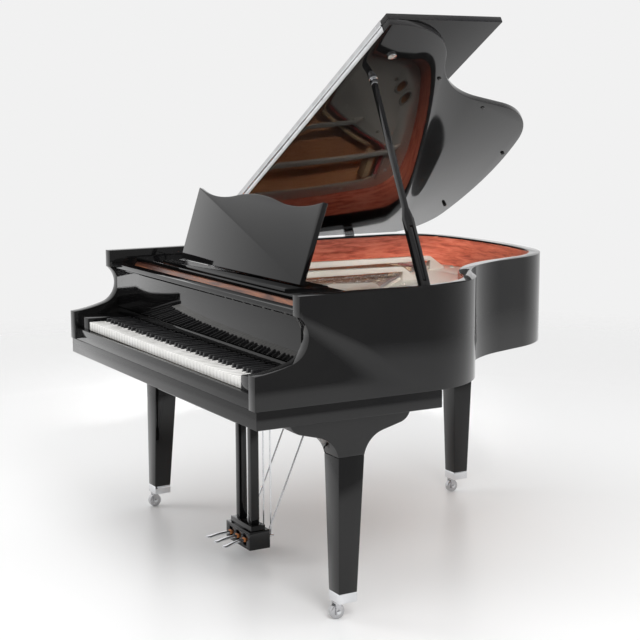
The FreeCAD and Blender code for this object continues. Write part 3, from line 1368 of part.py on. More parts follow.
# Long hinge along the fold, and the two cups for the prop, under the lid
fold_radius = s.fold_hinge_diameter / 2
fold_y = s.lid_fold - fold_radius - s.flap_gap
fold_z = s.lid_thickness + s.flap_gap / 2
fold_x = (lid_edge + s.fold_hinge_margin, lid_edge + case_width - s.fold_hinge_margin)
fold_strip_y = (s.lid_fold - s.fold_strip_thickness, s.lid_fold)
fold_strip = box(fold_x, fold_strip_y, (s.lid_thickness - s.fold_strip_height, s.lid_thickness))
fold_barrel = rod((fold_x[0], fold_y, fold_z), fold_radius, fold_x[1] - fold_x[0], Vector(1, 0, 0))
lid_fittings.append(fuse(fold_strip, fold_barrel))
for reach in (s.prop_cup_reach, s.prop_cup_reach + s.short_cup_gap):
    lid_fittings.append(rod((reach, s.prop_cup_depth, -s.cup_height), s.cup_radius, s.cup_height))
fittings = doc.addObject("Part::Compound", "lid_fittings")
fittings.Links = lid_fittings
lid_node(fittings, "lid_fittings")

# Prop: its plane leans back from the foot to the cup, and it swings in that plane
prop_foot_x = inner_half - s.veneer_thickness - s.prop_standoff
prop_foot = Vector(float(prop_foot_x), float(s.prop_depth), float(rim_top - s.prop_drop))
lid_turn = math.radians(s.lid_angle)
cup_reach = float(s.prop_cup_reach)
cup_point = Vector(
    float(hinge_x) + cup_reach * math.cos(lid_turn),
    float(s.prop_cup_depth),
    float(hinge_z) + cup_reach * math.sin(lid_turn),
)
prop_line = cup_point - prop_foot
prop_tilt = math.degrees(math.atan2(prop_line.y, prop_line.z))
prop_swing = math.degrees(math.atan2(-prop_line.x, math.hypot(prop_line.y, prop_line.z)))
prop_length = prop_line.Length - float(s.cup_height + s.prop_tip_gap)
half_prop = s.prop_width / 2
half_tip = s.prop_tip_width / 2
slim_start = s.prop_wide_length + s.prop_taper
prop_corners = [
    (-half_prop, -s.prop_heel),
    (half_prop, -s.prop_heel),
    (half_prop, s.prop_wide_length),
    (half_tip, slim_start),
    (half_tip, prop_length),
    (-half_tip, prop_length),
    (-half_tip, slim_start),
    (-half_prop, s.prop_wide_length),
]
prop_lath = new_body("prop_lath")
half_thick = s.prop_thickness / 2
pad(prop_lath, "YZ_Plane", prop_corners, -half_thick, half_thick)
slot_z = (s.prop_slot_end, s.prop_wide_length - s.prop_slot_end)
slot_x = (-half_thick - overrun, half_thick + overrun)
slot = box(slot_x, (-s.prop_slot / 2, s.prop_slot / 2), slot_z)
bore_start = -half_prop - overrun
prop_bore = rod((0, bore_start, 0), s.prop_pin_diameter / 2 + s.running_fit, -2 * bore_start, along)
prop = cut(prop_lath, slot, prop_bore)
add_node(prop, "prop_stick")
lean_turn = FreeCAD.Rotation(Vector(1, 0, 0), -prop_tilt)
swing_turn = FreeCAD.Rotation(Vector(0, 1, 0), -prop_swing)
prop.setExpression("Placement.Base.y", None)
foot_place = prop_foot - Vector(0, float(s.case_length) / 2, 0)
prop.Placement = FreeCAD.Placement(foot_place, lean_turn * swing_turn)

ear_low = half_prop + s.clearance
ear_high = ear_low + s.prop_ear
block_x = (s.prop_block_gap, s.prop_standoff * 2)
block_z = (-s.prop_block_drop, s.prop_block_rise)
ear_x = (-s.prop_ear_nose, s.prop_block_gap)
ear_z = (-s.prop_ear_half, s.prop_ear_half)
bracket_low, bracket_high = float(ear_low), float(ear_high)
bracket = block_shape(block_x, (-bracket_high, bracket_high), block_z)
pin_size = float(s.prop_pin_diameter) / 2
bracket_pieces = [Part.makeCylinder(pin_size, bracket_high * 2, Vector(0, -bracket_high, 0), along)]
for low, high in ((-bracket_high, -bracket_low), (bracket_low, bracket_high)):
    bracket_pieces.append(block_shape(ear_x, (low, high), ear_z))
bracket = bracket.fuse(bracket_pieces)
bracket.rotate(Vector(), Vector(1, 0, 0), -prop_tilt)
bracket.translate(prop_foot)
bracket_room = case_slab(veneer_inset, 0, s.keybed_height, rim_top)
add_shape("prop_bracket", bracket.common(bracket_room))

# Write every piece, once all of them are sound
doc.recompute()
broken = [obj.Label for obj in doc.Objects if "Invalid" in obj.State or "Error" in obj.State]
broken += [obj.Label for obj in nodes if obj.Shape.isNull() or not obj.Shape.isValid()]
if broken:
    raise RuntimeError("not sound: " + ", ".join(broken))
for obj in nodes:
    obj.Shape.exportStep(f"parts/{obj.Label}.step")
print(len(nodes), "pieces written")
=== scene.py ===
import json
import math

import bpy
from mathutils import Matrix, Vector


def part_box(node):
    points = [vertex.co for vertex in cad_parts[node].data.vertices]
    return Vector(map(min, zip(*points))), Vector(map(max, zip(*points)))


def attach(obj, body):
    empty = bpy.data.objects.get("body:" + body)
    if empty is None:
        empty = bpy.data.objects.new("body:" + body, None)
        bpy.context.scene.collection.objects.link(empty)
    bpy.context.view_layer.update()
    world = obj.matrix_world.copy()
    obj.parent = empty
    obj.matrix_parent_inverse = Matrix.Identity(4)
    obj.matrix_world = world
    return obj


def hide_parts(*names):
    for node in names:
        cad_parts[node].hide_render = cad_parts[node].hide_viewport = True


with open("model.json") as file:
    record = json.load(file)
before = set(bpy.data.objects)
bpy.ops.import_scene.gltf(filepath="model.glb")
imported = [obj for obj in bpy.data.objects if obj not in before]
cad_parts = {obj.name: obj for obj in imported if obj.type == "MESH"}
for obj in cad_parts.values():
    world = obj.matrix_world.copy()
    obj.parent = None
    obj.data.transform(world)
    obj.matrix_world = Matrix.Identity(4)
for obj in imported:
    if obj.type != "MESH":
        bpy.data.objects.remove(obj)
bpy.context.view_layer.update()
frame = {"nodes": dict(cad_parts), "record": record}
nodes = frame["nodes"]
bodyOf = {node: body for body, names in frame["record"]["behaviour"]["bodies"].items() for node in names}
scene = bpy.context.scene
scene.view_settings.view_transform = "Standard"
frontLine = -0.778  # the front of the case, from which depths are measured
crispAngle = 34  # degrees, sharper edges than this stay crisp in the shading
casterCorners = ["front_left", "front_right", "rear"]
print("frame loaded:", len(nodes), "nodes")


# small helpers for working on one object at a time

def objectMode():
    bpy.ops.object.mode_set(mode="OBJECT")


def editAll():
    # into edit mode with the whole mesh selected
    bpy.ops.object.mode_set(mode="EDIT")
    bpy.ops.mesh.select_all(action="SELECT")


def deselectAll():
    if bpy.context.object and bpy.context.object.mode != "OBJECT":
        objectMode()
    bpy.ops.object.select_all(action="DESELECT")


def makeActive(piece):
    deselectAll()
    piece.select_set(True)
    bpy.context.view_layer.objects.active = piece


def settle(piece):
    makeActive(piece)
    bpy.ops.object.transform_apply(location=True, rotation=True, scale=True)


def smoothByAngle(piece, degrees):
    makeActive(piece)
    bpy.ops.object.shade_smooth_by_angle(angle=math.radians(degrees))


def bevelEdges(piece, width, segments=2, degrees=30):
    makeActive(piece)
    softener = piece.modifiers.new("edge", "BEVEL")
    softener.width = width
    softener.segments = segments
    softener.limit_method = "ANGLE"
    softener.angle_limit = math.radians(degrees)
    softener.use_clamp_overlap = True
    bpy.ops.object.modifier_apply(modifier=softener.name)


def joinPieces(name, parts):
    deselectAll()
    for part in parts:
        part.select_set(True)
    bpy.context.view_layer.objects.active = parts[0]
    bpy.ops.object.join()
    joined = bpy.context.object
    joined.name = name
    joined.data.name = name
    settle(joined)
    return joined


def ownCopy(piece):
    twin = piece.copy()
    twin.data = piece.data.copy()
    scene.collection.objects.link(twin)
    return twin


def finishPiece(piece, finish, body):
    piece.data.materials.clear()
    piece.data.materials.append(finish)
    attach(piece, body)


# finishes; a noise pattern is given by its scale, detail and distortion, a bump by its strength and height

patternLow, patternHigh = 0.3, 0.7  # nearly all of a noise pattern lies between these


def newFinish(name, roughness=0.4, metallic=0.0):
    finish = bpy.data.materials.new(name)
    finish.use_nodes = True
    shader = finish.node_tree.nodes["Principled BSDF"]
    shader.inputs["Roughness"].default_value = roughness
    shader.inputs["Metallic"].default_value = metallic
    return finish, finish.node_tree, shader


def surfacePoint(tree, scale=(1, 1, 1), turn=(0, 0, 0)):
    place = tree.nodes.new("ShaderNodeTexCoord")
    mapping = tree.nodes.new("ShaderNodeMapping")
    mapping.inputs["Scale"].default_value = scale
    mapping.inputs["Rotation"].default_value = turn
    tree.links.new(place.outputs["Object"], mapping.inputs["Vector"])
    return mapping.outputs["Vector"]


def noisePattern(tree, point, scale, detail, distortion=0.0, roughness=0.5):
    noise = tree.nodes.new("ShaderNodeTexNoise")
    noise.inputs["Scale"].default_value = scale
    noise.inputs["Detail"].default_value = detail
    noise.inputs["Roughness"].default_value = roughness
    noise.inputs["Distortion"].default_value = distortion
    tree.links.new(point, noise.inputs["Vector"])
    return noise.outputs["Fac"]


def colourStops(tree, factor, stops):
    ramp = tree.nodes.new("ShaderNodeValToRGB")
    elements = ramp.color_ramp.elements
    while len(elements) < len(stops):
        elements.new(0.5)
    for element, (position, colour) in zip(elements, stops):
        element.position = position
        element.color = (*colour, 1)
    tree.links.new(factor, ramp.inputs["Fac"])
    return ramp.outputs["Color"]


def twoShades(tree, factor, look):
    return colourStops(tree, factor, [(patternLow, look["dark"]), (patternHigh, look["light"])])


def numberRange(tree, factor, low, high, start=patternLow, end=patternHigh):
    remap = tree.nodes.new("ShaderNodeMapRange")
    remap.inputs["From Min"].default_value = start
    remap.inputs["From Max"].default_value = end
    remap.inputs["To Min"].default_value = low
    remap.inputs["To Max"].default_value = high
    tree.links.new(factor, remap.inputs["Value"])
    return remap.outputs["Result"]


def addBump(tree, shader, height, strength, distance):
    bump = tree.nodes.new("ShaderNodeBump")
    bump.inputs["Strength"].default_value = strength
    bump.inputs["Distance"].default_value = distance
    tree.links.new(height, bump.inputs["Height"])
    tree.links.new(bump.outputs["Normal"], shader.inputs["Normal"])


lacquerLook = {"dark": (0.0030, 0.0030, 0.0034), "light": (0.0062, 0.0060, 0.0060), "rough": (0.025, 0.065),
               "specular": 0.42, "haze": (3.5, 5.0, 0.6), "ripple": (9.0, 1.0), "bump": (0.010, 0.0010)}


def lacquerFinish():
    # deep polished black, with the faint haze that cloths leave
    look = lacquerLook
    finish, tree, shader = newFinish("blackLacquer")
    haze = noisePattern(tree, surfacePoint(tree), *look["haze"])
    tree.links.new(twoShades(tree, haze, look), shader.inputs["Base Color"])
    tree.links.new(numberRange(tree, haze, *look["rough"]), shader.inputs["Roughness"])
    shader.inputs["Specular IOR Level"].default_value = look["specular"]
    ripple = noisePattern(tree, surfacePoint(tree), *look["ripple"])
    addBump(tree, shader, ripple, *look["bump"])
    return finish


# what all woods share: how fibre and drift add up, and how far the roughness strays
woodLook = {"fibre": (1.0, 6.0), "fibreRough": 0.6, "fibreSpan": (0.25, 0.75), "fibreShare": (0.0, 0.65),
            "drift": (2.2, 2.0), "driftShare": 0.35, "stray": (-0.05, 0.08), "coatRough": 0.08,
            "relief": 0.0008}


def woodFinish(name, look):
    # long fibres along one axis over a slower drift of colour
    finish, tree, shader = newFinish(name, look["rough"])
    along = surfacePoint(tree, look["grain"], look["turn"])
    fibre = noisePattern(tree, along, *woodLook["fibre"], look["wave"], woodLook["fibreRough"])
    drift = noisePattern(tree, surfacePoint(tree), *woodLook["drift"])
    blend = tree.nodes.new("ShaderNodeMath")
    blend.operation = "MULTIPLY_ADD"
    blend.inputs[1].default_value = woodLook["driftShare"]
    tree.links.new(drift, blend.inputs[0])
    tree.links.new(numberRange(tree, fibre, *woodLook["fibreShare"], *woodLook["fibreSpan"]), blend.inputs[2])
    tree.links.new(colourStops(tree, blend.outputs[0], look["stops"]), shader.inputs["Base Color"])
    rough = [look["rough"] + stray for stray in woodLook["stray"]]
    tree.links.new(numberRange(tree, fibre, *rough), shader.inputs["Roughness"])
    shader.inputs["Coat Weight"].default_value = look["coat"]
    shader.inputs["Coat Roughness"].default_value = woodLook["coatRough"]
    addBump(tree, shader, fibre, look["bump"], woodLook["relief"])
    return finish


hardLook = {"cloud": (4.0, 0.3), "gritDetail": 2.0, "relief": 0.0004}


def hardFinish(name, look):
    # metals, paint and key tops: a cloudy shade, fine grit in the bump
    finish, tree, shader = newFinish(name, look["rough"], look["metal"])
    cloud = noisePattern(tree, surfacePoint(tree), look["scale"], *hardLook["cloud"])
    tree.links.new(twoShades(tree, cloud, look), shader.inputs["Base Color"])
    smoothest, roughest = look["rough"] - look["spread"], look["rough"] + look["spread"]
    tree.links.new(numberRange(tree, cloud, smoothest, roughest), shader.inputs["Roughness"])
    grit = noisePattern(tree, surfacePoint(tree), look["grit"], hardLook["gritDetail"])
    addBump(tree, shader, grit, look["bump"], hardLook["relief"])
    return finish


softLook = {"rough": 0.95, "nap": (900.0, 3.0, 0.4), "sheen": 0.3, "bump": (0.5, 0.0006)}


def softFinish(name, look):
    # felt and rubber: no shine, short fibres in the bump
    finish, tree, shader = newFinish(name, softLook["rough"])
    nap = noisePattern(tree, surfacePoint(tree), *softLook["nap"])
    tree.links.new(twoShades(tree, nap, look), shader.inputs["Base Color"])
    shader.inputs["Sheen Weight"].default_value = softLook["sheen"]
    addBump(tree, shader, nap, *softLook["bump"])
    return finish


blackLacquer = lacquerFinish()
mapleWood = woodFinish("mapleWood", {
    "rough": 0.42, "coat": 0.15, "bump": 0.12, "wave": 0.5, "grain": (90, 6, 90), "turn": (0, 0, 0),
    "stops": [(0.1, (0.36, 0.22, 0.12)), (0.5, (0.54, 0.36, 0.20)), (0.9, (0.66, 0.47, 0.29))]})
mahoganyVeneer = woodFinish("mahoganyVeneer", {
    "rough": 0.34, "coat": 0.12, "bump": 0.05, "wave": 0.35, "grain": (11, 11, 84), "turn": (0, 0.05, 0),
    "stops": [(0.22, (0.36, 0.058, 0.032)), (0.46, (0.66, 0.160, 0.092)), (0.75, (0.82, 0.285, 0.185))]})
# the mahogany veneer darkened to about half: painted shade for the board that sits under the shelf's overhang
paintedShadeVeneer = woodFinish("paintedShadeVeneer", {
    "rough": 0.34, "coat": 0.12, "bump": 0.05, "wave": 1.3, "grain": (5, 15, 58), "turn": (0, 0, 0),
    "stops": [(0.25, (0.045, 0.013, 0.009)), (0.46, (0.11, 0.044, 0.028)), (0.70, (0.27, 0.100, 0.048))]})
spruceBoard = woodFinish("spruceBoard", {
    "rough": 0.28, "coat": 0.45, "bump": 0.06, "wave": 0.25, "grain": (150, 9, 150), "turn": (0, 0, 0.75),
    "stops": [(0.1, (0.52, 0.205, 0.090)), (0.5, (0.68, 0.310, 0.145)), (0.9, (0.80, 0.410, 0.215))]})
paintedIron = hardFinish("paintedIron", {
    "rough": 0.33, "spread": 0.03, "metal": 0.60, "scale": 5, "grit": 420, "bump": 0.05,
    "dark": (0.58, 0.540, 0.475), "light": (0.63, 0.590, 0.525)})
stringSteel = hardFinish("stringSteel", {
    "rough": 0.24, "spread": 0.06, "metal": 0.95, "scale": 60, "grit": 800, "bump": 0.05,
    "dark": (0.56, 0.53, 0.49), "light": (0.72, 0.69, 0.65)})
copperWinding = hardFinish("copperWinding", {
    "rough": 0.32, "spread": 0.06, "metal": 1.0, "scale": 90, "grit": 1200, "bump": 0.25,
    "dark": (0.48, 0.21, 0.11), "light": (0.72, 0.36, 0.20)})
satinMetal = hardFinish("satinMetal", {
    "rough": 0.36, "spread": 0.06, "metal": 1.0, "scale": 25, "grit": 700, "bump": 0.08,
    "dark": (0.56, 0.56, 0.57), "light": (0.70, 0.70, 0.71)})
polishedChrome = hardFinish("polishedChrome", {
    "rough": 0.09, "spread": 0.04, "metal": 1.0, "scale": 18, "grit": 500, "bump": 0.02,
    "dark": (0.74, 0.75, 0.77), "light": (0.86, 0.87, 0.89)})
polishedBrass = hardFinish("polishedBrass", {
    "rough": 0.17, "spread": 0.06, "metal": 1.0, "scale": 22, "grit": 600, "bump": 0.03,
    "dark": (0.66, 0.42, 0.15), "light": (0.86, 0.62, 0.28)})
casterSteel = hardFinish("casterSteel", {
    "rough": 0.22, "spread": 0.07, "metal": 1.0, "scale": 40, "grit": 600, "bump": 0.05,
    "dark": (0.46, 0.46, 0.47), "light": (0.64, 0.64, 0.66)})
whiteKeyTop = hardFinish("whiteKeyTop", {
    "rough": 0.14, "spread": 0.04, "metal": 0.0, "scale": 12, "grit": 300, "bump": 0.02,
    "dark": (0.80, 0.79, 0.76), "light": (0.88, 0.87, 0.85)})
blackKeyTop = hardFinish("blackKeyTop", {
    "rough": 0.30, "spread": 0.06, "metal": 0.0, "scale": 30, "grit": 500, "bump": 0.06,
    "dark": (0.009, 0.009, 0.010), "light": (0.016, 0.016, 0.017)})
damperBlack = hardFinish("damperBlack", {
    "rough": 0.38, "spread": 0.06, "metal": 0.0, "scale": 30, "grit": 500, "bump": 0.06,
    "dark": (0.010, 0.010, 0.010), "light": (0.022, 0.021, 0.021)})
redFelt = softFinish("redFelt", {"dark": (0.26, 0.014, 0.012), "light": (0.42, 0.030, 0.024)})
orangeFelt = softFinish("orangeFelt", {"dark": (0.42, 0.13, 0.030), "light": (0.62, 0.22, 0.055)})
blackRubber = softFinish("blackRubber", {"dark": (0.012, 0.012, 0.012), "light": (0.028, 0.028, 0.028)})
print("finishes made")


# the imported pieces, each copied, merged and given eased edges

easeLook = {"merge": 0.00002, "flatAngle": 0.4, "edgeAngle": 28}  # metres, degrees, degrees


def easedCopy(node, width, segments):
    makeActive(nodes[node])
    bpy.ops.object.duplicate()
    piece = bpy.context.object
    for key in list(piece.keys()):
        del piece[key]
    piece.parent = None
    piece.name = node + ".eased"
    piece.data.name = node + ".eased"
    piece.data.materials.clear()
    editAll()
    bpy.ops.mesh.remove_doubles(threshold=easeLook["merge"])
    bpy.ops.mesh.dissolve_limited(angle_limit=math.radians(easeLook["flatAngle"]))
    bpy.ops.mesh.normals_make_consistent(inside=False)
    objectMode()
    if width:
        bevelEdges(piece, width, segments, easeLook["edgeAngle"])
    smoothByAngle(piece, crispAngle)
    return piece


def easeNode(node, finish, width, segments=2):
    piece = easedCopy(node, width, segments)
    finishPiece(piece, finish, bodyOf[node])
    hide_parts(node)


caseEasing = {"rim": 0.0018, "keybed": 0.0018, "key_slip": 0.0015, "cheek_blocks": 0.0030, "legs": 0.0022,
              "leg_brackets": 0.0020, "lyre_board": 0.0030, "lyre_posts": 0.0022, "pedal_box": 0.0020,
              "music_shelf": 0.0010, "fallboard": 0.0009, "desk_tray": 0.0008, "music_desk": 0.0024,
              "desk_stay": 0.0008, "lid": 0.0026, "lid_flap": 0.0026, "prop_stick": 0.0014}
for node, width in caseEasing.items():
    easeNode(node, blackLacquer, width)
print("case pieces eased:", len(caseEasing))

keyLook = {"naturals": ["key_c", "key_d", "key_e", "key_f", "key_g", "key_a", "key_b"], "naturalEase": 0.0007,
           "sharps": ["key_c_sharp", "key_d_sharp", "key_f_sharp", "key_g_sharp", "key_a_sharp"],
           "sharpEase": 0.0012}
for node in keyLook["naturals"]:
    easeNode(node, whiteKeyTop, keyLook["naturalEase"])
for node in keyLook["sharps"]:
    easeNode(node, blackKeyTop, keyLook["sharpEase"])
print("keys eased:", len(keyLook["naturals"]) + len(keyLook["sharps"]))

metalEasing = {
    "plate": (paintedIron, "bronzed_iron", 0.0024), "leg_ferrules": (polishedChrome, "chrome", 0.0022),
    "lid_hinges": (polishedChrome, "chrome", 0.0006), "lid_fittings": (polishedChrome, "chrome", 0.0005),
    "prop_bracket": (polishedChrome, "chrome", 0.0008), "lyre_braces": (polishedChrome, "chrome", 0.0),
    "action_rails": (satinMetal, "action_metal", 0.0006)}
for node, (finish, slot, width) in metalEasing.items():
    easeNode(node, finish, width)
casterEasing = {"caster_fork_": (0.0022, 3), "caster_wheel_": (0.0050, 4)}  # width, segments
for corner in casterCorners:
    for part, (width, segments) in casterEasing.items():
        easeNode(part + corner, casterSteel, width, segments)
print("metal pieces eased")

woodEasing = {
    "rim_veneer": (mahoganyVeneer, "mahogany_veneer", 0.0004), "bridges": (mapleWood, "maple", 0.0012),
    "soundboard": (spruceBoard, "spruce", 0.0), "hammers": (mapleWood, "maple", 0.0006),
    "dampers": (damperBlack, "damper_black", 0.0006), "inner_rim": (mapleWood, "maple", 0.0012),
    "case_braces": (mapleWood, "maple", 0.0020), "pin_block": (mapleWood, "maple", 0.0010),
    "key_frame": (mapleWood, "maple", 0.0006), "wippens": (mapleWood, "maple", 0.0004)}
for node, (finish, slot, width) in woodEasing.items():
    easeNode(node, finish, width)
print("wooden inside pieces eased")

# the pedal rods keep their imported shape
for node in ["pedal_rod_left", "pedal_rod_middle", "pedal_rod_right"]:
    nodes[node].data.materials.clear()
    nodes[node].data.materials.append(polishedChrome)


# tools for pieces that are laid ring by ring, turned, repeated or cut as blocks

def tubeBlank(name, sides, ringCount):
    # a disc extruded one step for each ring, and which ring and corner every vertex belongs to
    deselectAll()
    bpy.ops.mesh.primitive_circle_add(vertices=sides, radius=1, fill_type="NGON", location=(0, 0, 0))
    blank = bpy.context.object
    blank.name = name
    editAll()
    for step in range(ringCount - 1):
        bpy.ops.mesh.extrude_region_move(TRANSFORM_OT_translate={"value": (0, 0, 1)})
    objectMode()
    order = []
    for vertex in blank.data.vertices:
        share = math.atan2(-vertex.co.x, vertex.co.y) / (2 * math.pi)
        order.append((round(vertex.co.z), round(share * sides) % sides))
    return blank, order


def layRings(piece, order, rings):
    for vertex, (ring, corner) in zip(piece.data.vertices, order):
        vertex.co = rings[ring][corner]


def pointOutwards(piece):
    makeActive(piece)
    editAll()
    bpy.ops.mesh.normals_make_consistent(inside=False)
    objectMode()


def ringPiece(name, rings):
    piece, order = tubeBlank(name, len(rings[0]), len(rings))
    layRings(piece, order, rings)
    pointOutwards(piece)
    return piece


def circleTurns(sides):
    return [2 * math.pi * corner / sides for corner in range(sides)]


def roundRing(centre, radius, sides):
    # a ring across the run of the strings
    x, y, z = centre
    return [(x + radius * math.cos(turn), y, z + radius * math.sin(turn)) for turn in circleTurns(sides)]


def turnedPiece(name, look):
    # upright piece from its heights and radii
    turns = circleTurns(look["sides"])
    rings = [[(radius * math.cos(turn), radius * math.sin(turn), height) for turn in turns]
             for height, radius in look["steps"]]
    piece = ringPiece(name, rings)
    smoothByAngle(piece, look["smooth"])
    return piece


def scatterCopies(name, model, places, finish, body):
    copies = []
    for place in places:
        twin = ownCopy(model)
        twin.matrix_world = place
        copies.append(twin)
    bpy.data.objects.remove(model)
    joined = joinPieces(name, copies)
    finishPiece(joined, finish, body)
    return joined


def eachAt(points):
    return [Matrix.Translation(point) for point in points]


def addBlock(name, low, high, ease):
    # a cube stretched between two corners, with eased edges
    deselectAll()
    bpy.ops.mesh.primitive_cube_add(size=1, location=[(a + b) / 2 for a, b in zip(low, high)])
    block = bpy.context.object
    block.name = name
    block.scale = [b - a for a, b in zip(low, high)]
    settle(block)
    bevelEdges(block, ease)
    return block


# strings: one, two or three wires to a note, wound with copper in the bass

stringLook = {"notes": 88, "singles": 8, "doubles": 22, "spread": 0.0034, "smooth": 80,
              "steel": 0.0004, "wireSides": 6, "wireRings": 5, "coilDrop": 0.0042, "strutGap": 0.002,
              "wound": 0.00085, "windingSides": 8, "windingRings": 4, "windingStart": 0.018,
              "windingEnd": 0.012, "windingTaper": 0.004, "bridgeFront": 0.095, "bridgeBack": 0.067,
              "bridgeShift": 0.0018, "tail": 0.020, "hitchPin": 0.006, "hitchSink": 0.0006,
              "studInset": 0.004}
strutLook = {"places": (0.440, 0.165, -0.185, -0.436), "room": 0.019}
pinLook = {"sides": 8, "smooth": 40, "half": 0.00275,
           "steps": [(0, 0.0026), (0.004, 0.0026), (0.0045, 0.0034), (0.0085, 0.0034), (0.009, 0.0026),
                     (0.0225, 0.0026), (0.0230, 0.0021), (0.0300, 0.0017)]}
hitchLook = {"sides": 6, "smooth": 40, "steps": [(0, 0.0014), (0.006, 0.0014), (0.0072, 0.0008)]}
agraffeLook = {"sides": 8, "smooth": 40,
               "steps": [(0, 0.0040), (0.0020, 0.0040), (0.0026, 0.0028), (0.0046, 0.0028), (0.0052, 0.0038),
                         (0.0074, 0.0038), (0.0086, 0.0024)]}


def stringCourses():
    # where each note's course lies: across, front end and back end
    low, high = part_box("strings")
    half = (high[2] - low[2]) / 2
    pitch = (high[0] - low[0] - 2 * half) / (stringLook["notes"] - 1)
    courses = [[low[0] + half + pitch * number, high[1], low[1]] for number in range(stringLook["notes"])]
    for vertex in nodes["strings"].data.vertices:
        course = courses[round((vertex.co.x - low[0] - half) / pitch)]
        course[1] = min(course[1], vertex.co.y)
        course[2] = max(course[2], vertex.co.y)
    return courses


def wireOffsets(number):
    if number < stringLook["singles"]:
        return [0.0]
    if number < stringLook["doubles"]:
        return [-stringLook["spread"] / 2, stringLook["spread"] / 2]
    return [-stringLook["spread"], 0.0, stringLook["spread"]]


courses = stringCourses()
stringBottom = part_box("strings")[0][2]
pinLow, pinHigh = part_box("tuning_pins")
pinRows = [pinHigh[1] - pinLook["half"], (pinLow[1] + pinHigh[1]) / 2, pinLow[1] + pinLook["half"]]


def makeStrings():
    look = stringLook
    wireBlank, wireOrder = tubeBlank("wire", look["wireSides"], look["wireRings"])
    windingBlank, windingOrder = tubeBlank("winding", look["windingSides"], look["windingRings"])
    wires, windings, pinPlaces, hitchPlaces = [], [], [], []
    level, woundLevel = stringBottom + look["steel"], stringBottom + look["wound"]
    for number, (x, near, far) in enumerate(courses):
        underStrut = min(abs(x - strut) for strut in strutLook["places"]) < strutLook["room"]
        hitchY = far - look["hitchPin"]
        for turn, offset in enumerate(wireOffsets(number)):
            across = x + offset
            shifted = across + look["bridgeShift"]
            row = turn if number >= look["doubles"] else number + turn
            pinY = pinRows[row % len(pinRows)]
            pinPlaces.append((across, pinY, pinLow[2]))
            hitchPlaces.append((shifted, hitchY, stringBottom - look["hitchSink"]))
            start = (across, pinY, level - look["coilDrop"])
            if underStrut:
                start = (across, near - look["strutGap"], level)
            path = [start, (across, near, level), (across, far - look["bridgeFront"], level),
                    (shifted, far - look["bridgeBack"], level), (shifted, hitchY, level)]
            wire = ownCopy(wireBlank)
            layRings(wire, wireOrder, [roundRing(point, look["steel"], look["wireSides"]) for point in path])
            wires.append(wire)
            if number >= look["doubles"]:
                continue
            first = near + look["windingStart"]
            last = far - look["bridgeFront"] - look["windingEnd"]
            stops = [(first, look["steel"]), (first + look["windingTaper"], look["wound"]),
                     (last - look["windingTaper"], look["wound"]), (last, look["steel"])]
            rings = [roundRing((across, y, woundLevel), radius, look["windingSides"]) for y, radius in stops]
            winding = ownCopy(windingBlank)
            layRings(winding, windingOrder, rings)
            windings.append(winding)
    for blank in (wireBlank, windingBlank):
        bpy.data.objects.remove(blank)
    groups = [("string_wires", wires, stringSteel), ("bass_windings", windings, copperWinding)]
    for name, parts, finish in groups:
        joined = joinPieces(name, parts)
        pointOutwards(joined)
        smoothByAngle(joined, look["smooth"])
        finishPiece(joined, finish, "case")
        if finish is stringSteel:
            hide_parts("strings")
    pins = scatterCopies("wrest_pins", turnedPiece("pin", pinLook), eachAt(pinPlaces), satinMetal, "case")
    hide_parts("tuning_pins")
    scatterCopies("hitch_pins", turnedPiece("hitch", hitchLook), eachAt(hitchPlaces), satinMetal, "case")
    studs = [(x, near + look["studInset"], stringBottom) for x, near, far in courses]
    scatterCopies("agraffes", turnedPiece("stud", agraffeLook), eachAt(studs), polishedBrass, "case")
    print("strings laid:", len(wires), "wires,", len(windings), "windings")


makeStrings()


# plate: red felt along the hitch line, bolts on the web and lips round the portholes

plateLook = {"feltFront": 0.014, "feltBack": 0.004, "feltLow": 0.0100, "feltHigh": 0.0015, "feltStep": 3,
             "feltEase": (0.0012, 2, 50), "feltSmooth": 40, "webDrop": 0.010,
             "bolts": [(-0.680, 0.620), (-0.680, 0.900), (-0.678, 1.180), (-0.600, 1.395), (-0.430, 1.468),
                       (-0.220, 1.478), (-0.035, 1.448), (0.665, 0.600), (0.560, 0.352), (0.310, 0.352),
                       (0.000, 0.352), (-0.310, 0.352), (-0.560, 0.352)],
             "boltNotes": [22, 38, 50, 64, 82], "boltInset": 0.060,
             "portholes": [(0.0181, 1.307), (-0.0828, 1.365)], "lipRadius": 0.0435, "lipHalf": 0.0070,
             "lipSegments": (44, 14), "lipFlat": 0.8, "lipSmooth": 60}
boltLook = {"sides": 12, "smooth": 40,
            "steps": [(0, 0.0105), (0.0015, 0.0105), (0.0020, 0.0078), (0.0065, 0.0078), (0.0078, 0.0060)]}


